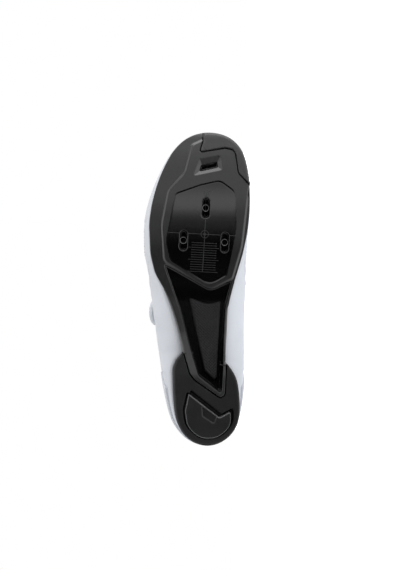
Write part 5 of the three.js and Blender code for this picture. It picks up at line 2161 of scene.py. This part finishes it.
@dataclass
class Closure:
    """The lace dial, the guides and the lace that runs through them."""

    last: Last
    shop: Workshop
    dial_at: float = 116.0
    lean: float = 30.0
    diameter: float = 26.0
    base_diameter: float = 28.0
    base: float = 3.0
    knob: float = 5.2
    grips: int = 20
    grip_depth: float = 0.12
    gap: float = 0.3
    lace: float = 1.4
    lace_height: float = 2.0
    guide_length: float = 13.0
    guide_width: float = 8.0
    guide_height: float = 3.6
    throat_half: float = 14.5
    guide_inset: float = 1.5
    mouth: float = 4.0
    loop_reach: float = 0.62
    channel_width: float = 1.1
    channel_depth: float = 0.42
    guides: tuple[tuple[str, float, int], ...] = (
        ("medial_rear", 0.442, 1),
        ("lateral_rear", 0.522, -1),
        ("medial_front", 0.572, 1),
        ("lateral_front", 0.652, -1),
    )

    def seat(self) -> Array:
        """Where the outer side's surface faces along the dial's axis.

        Returns:
            The point of the surface.
        """
        half = self.last.half(np.array([self.dial_at / LENGTH]), Side.LATERAL)
        tilt = math.tan(math.radians(self.lean)) * ((half.ridge - half.widest) / half.reach)
        angle = np.arctan(tilt ** (half.full / (2 * half.full - 2)))
        return self.last.surface(half, angle, 0.0)[0]

    def on_seat(self) -> Array:
        """The 3 by 4 matrix that carries a piece on the Z axis to the dial's seat.

        Returns:
            The matrix, as a list of one.
        """
        a = math.radians(90 - self.lean)
        turn = np.array([[1, 0, 0], [0, math.cos(a), -math.sin(a)], [0, math.sin(a), math.cos(a)]])
        return np.concatenate([turn, self.seat()[:, None]], 1)[None]

    def grip(self, turn: Array, share: Array) -> Array:
        """Scallops round the knob's side, fading towards its faces.

        Args:
            turn: the turn round the axis.
            share: the profile's share, from the underside to the face.

        Returns:
            How far the side moves in.
        """
        wave = (0.5 - 0.5 * np.cos(turn * self.grips)) ** 0.7
        side = smoothstep(share, 0.18, 0.3) * (1 - smoothstep(share, 0.5, 0.62))
        return self.grip_depth * 1.5 * wave * side

    def build_dial(self) -> None:
        """The fixed base with its stepped collar, and the knob with grips round its side."""
        r = self.base_diameter / 2
        corners = [
            (0, -0.6, 0), (6, -0.8, 3), (11.5, -1.7, 1), (r, -2.3, 0.6), (r, 1.2, 0.5),
            (r - 0.8, 1.7, 0.3), (r - 0.9, self.base, 0.4), (0, self.base, 0),
        ]  # fmt: skip
        base = lathe(rounded_profile(corners), 96).copies(self.on_seat())
        self.shop.add("dial_base_ring", base, CLOSURE, ["dial_base"])
        r, low = self.diameter / 2, self.base + self.gap
        high = low + self.knob
        corners = [
            (0, low, 0), (r - 1.4, low, 0.3), (r - 0.5, low + 0.5, 0.5), (r, low + 1.5, 0.5),
            (r - 0.15, high - 1.5, 0.5), (r - 0.9, high - 0.5, 0.6), (r - 2.4, high - 0.1, 0.4),
            (r - 3.0, high - 0.8, 0.3), (r - 3.9, high - 0.85, 0.3), (r - 4.4, high - 0.1, 0.4),
            (r - 6, high, 1), (0, high - 0.2, 0),
        ]  # fmt: skip
        knob = lathe(rounded_profile(corners, 5), 240, self.grip).copies(self.on_seat())
        self.shop.add("dial_knob_grips", knob, CLOSURE, ["dial_knob"])

    def lay(self, x: Array, across: Array, grow: Array | float) -> Array:
        """Points over the top of the shoe at a height over its surface.

        Args:
            x: distances from the heel.
            across: signed distances from the spine.
            grow: the heights, or one for all.

        Returns:
            The points, moved out square to the section.
        """
        point = self.last.crown(x, across, 0.0)
        ahead = self.last.crown(x, across + 0.05, 0.0) - self.last.crown(x, across - 0.05, 0.0)
        normal = unit(np.stack([0 * ahead[..., 0], -ahead[..., 2], ahead[..., 1]], -1))
        return point + normal * np.asarray(grow)[..., None]

    def loop(self, at: float, side: int) -> Array:
        """The lace's way round inside a guide.

        Args:
            at: the guide's place as a share of LENGTH.
            side: the sign of its side.

        Returns:
            Rows of x and signed distance from the spine.
        """
        turn = np.linspace(0, math.pi, 24)
        bow = self.loop_reach * self.guide_width * np.sin(turn) ** 0.8
        out = self.throat_half + self.guide_inset + bow
        return np.stack([at * LENGTH - self.mouth * np.cos(turn), side * out], -1)

    def build_guides(self) -> None:
        """The four guides: rounded blocks with a channel that turns the lace back."""
        v = np.linspace(-1, 1, 72)[:, None]
        u = np.linspace(-1, 1, 56)[None]
        edge = self.throat_half + self.guide_inset
        rise = ((1 - np.abs(v) ** 5) * (1 - np.abs(u) ** 5)) ** 0.45
        reach = edge + (u + 1) / 2 * self.guide_width + 0 * v
        for name, at, side in self.guides:
            x = at * LENGTH + v * self.guide_length / 2 + 0 * u
            away = np.stack([x, reach], -1)[:, :, None] - self.loop(at, 1)
            near = np.sqrt((away**2).sum(-1)).min(-1)
            channel = bell(near, 0, self.channel_width, 4) * smoothstep(reach, edge - 2, edge + 0.5)
            height = self.guide_height * rise * (1 - self.channel_depth * channel)
            top = Surface.grid(self.lay(x, side * reach, self.gap + height))
            bottom = Surface.grid(self.lay(x, side * reach, self.gap)).flipped()
            block = Surface.join([top, bottom])
            self.shop.add(f"guide_{name}_block", block, CLOSURE, [f"lace_guide_{name}"])

    def build_lace(self) -> None:
        """One lace from the dial's rim through the guides in turn, ending in the last one.

        Its way over the shoe is taken at an even pitch and softened by a short window.
        """
        rim = self.base_diameter / 2 * math.sin(math.radians(self.lean))
        start = self.seat()[1] - float(self.last.spine(np.array(self.dial_at))) + rim + self.base
        loops = [self.loop(at, side) for _, at, side in self.guides]
        way = np.concatenate([[[self.dial_at - self.mouth / 2, start]], *loops])
        run = run_along(way)
        way = resample(way, run, np.linspace(0, run[-1], 420))
        soft = np.hanning(9) / np.hanning(9).sum()
        x, across = (np.convolve(np.pad(row, 4, mode="edge"), soft, "valid") for row in way.T)
        path = self.lay(x, across, self.lace_height)
        facing = self.lay(x, across, self.lace_height + 1) - path
        lace = sweep(path, facing, circle(self.lace / 2, 12))
        self.shop.add("lace_braided", lace, LACE, [f"lace_span_{i}" for i in range(1, 5)])

    def build(self) -> None:
        """Builds the dial, the guides and the lace."""
        self.build_dial()
        self.build_guides()
        self.build_lace()


@dataclass
class Studio:
    """A pale floor, plain soft light and the camera."""

    rest: Rest
    distance: float = 1.0
    picture_height: float = 0.493
    aim: tuple[float, float, float] = (141.2, -0.9, 0.0)
    camera_height: float = 0.008
    sensor: float = 36.0
    surround: float = 1.25
    behind: float = 0.8
    toe_box: float = 1.9
    toe_lamp: float = 3.0
    strips: float = 1.1
    floor_glow: float = 0.75
    floor_half: float = 6.0

    def camera(self) -> None:
        """Sets the camera square to the sole, rolled so that the toe points up, just over the floor."""
        target = Vector(self.rest.points(np.array(self.aim)))
        toe, up = (Vector(v) for v in (self.rest.axes[0], self.rest.axes[2]))
        place = target - up * self.distance
        place.z = max(place.z, self.camera_height)
        look = (target - place).normalized()
        right = look.cross(toe).normalized()
        turn = Matrix((right, right.cross(look), -look)).transposed()
        data = bpy.data.cameras.new("camera")
        data.sensor_width = self.sensor
        data.lens = self.sensor * (target - place).length / self.picture_height
        data.clip_start, data.clip_end = 0.01, 50
        made = link("camera", data)
        made.matrix_world = Matrix.Translation(place) @ turn.to_4x4()
        bpy.context.scene.camera = made

    def floor(self) -> None:
        """A pale floor that reaches past every view."""
        corners = self.floor_half * np.array([[-1, -1, 0], [1, -1, 0], [1, 1, 0], [-1, 1, 0]])
        mesh = bpy.data.meshes.new("floor")
        mesh.from_pydata(corners, [], [(0, 1, 2, 3)])
        made = link("floor", mesh)
        shader = Shader("floor_white", (0.85, 0.85, 0.85), 0.9, Specular_IOR_Level=0.1)
        shader.base.inputs["Emission Color"].default_value = (1, 1, 1, 1)
        shader.base.inputs["Emission Strength"].default_value = self.floor_glow
        mesh.materials.append(shader.material)
        made.visible_glossy = False

    def world(self) -> None:
        """Plain white to the camera, and a studio to everything else.

        The studio is even all round, dark behind the camera as a curtain keeps it out of gloss, and
        has a large soft box in front on the toe's side, which fades in from the middle, a lamp past
        the toe and, for gloss only, a strip on each side. Each share is a ramp on the direction's own
        coordinates.
        """
        world = bpy.data.worlds.new("studio")
        world.use_nodes = True
        bpy.context.scene.world = world
        tree = Nodes(world.node_tree)
        split = tree.node("SeparateXYZ", {0: tree.node("TexCoord").outputs["Generated"]})
        x, y, z = (split.outputs[name] for name in "XYZ")

        def ramp(value: Socket, start: float, end: float, top: float, kind: str = "SMOOTHSTEP") -> Socket:
            """From 0 at start to top at end."""
            return tree.span(value, 0.0, top, start, end, kind)

        front = ramp(y, -0.85, -0.45, self.surround)
        around = tree.math("SUBTRACT", front, ramp(y, -0.2, 0.5, self.surround - self.behind))
        fade = ramp(x, 0.035, 0.17, 1.0, "LINEAR")
        upright = tree.math("ABSOLUTE", z)
        box = tree.math("MULTIPLY", fade, fade)
        shares = ramp(y, 0.0, -0.5, self.toe_box), ramp(upright, 0.75, 0.3, 1.0), ramp(x, 0.85, 0.3, 1.0)
        for share in shares:
            box = tree.math("MULTIPLY", box, share)
        ray = tree.node("LightPath").outputs
        strips = tree.math("MULTIPLY", ramp(upright, 0.5, 0.8, self.strips), ray["Is Glossy Ray"])
        studio = around
        for part in (box, ramp(x, 0.8, 0.96, self.toe_lamp), strips):
            studio = tree.math("ADD", studio, part)
        background = tree.tree.nodes["Background"].inputs
        tree.tree.links.new(tree.math("MAXIMUM", ray["Is Camera Ray"], studio), background["Strength"])
        background["Color"].default_value = (1, 1, 1, 1)

    def build(self) -> None:
        """Sets up the whole studio."""
        self.camera()
        self.floor()
        self.world()
        bpy.context.scene.view_settings.view_transform = "Standard"


def main() -> None:
    """Builds the shoe on the frame, piece by piece."""
    logging.basicConfig(level=logging.INFO, format="%(message)s")
    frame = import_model()
    rest = Rest.from_record(frame["record"])
    shop, last = Workshop(rest), Last()
    sole = Sole(last, shop)
    sole.build()
    upper = Upper(last, shop, sole)
    upper.build()
    Trim(last, shop, upper).build()
    Closure(last, shop).build()
    Studio(rest).build()
    bpy.context.view_layer.update()


if __name__ == "__main__":
    main()
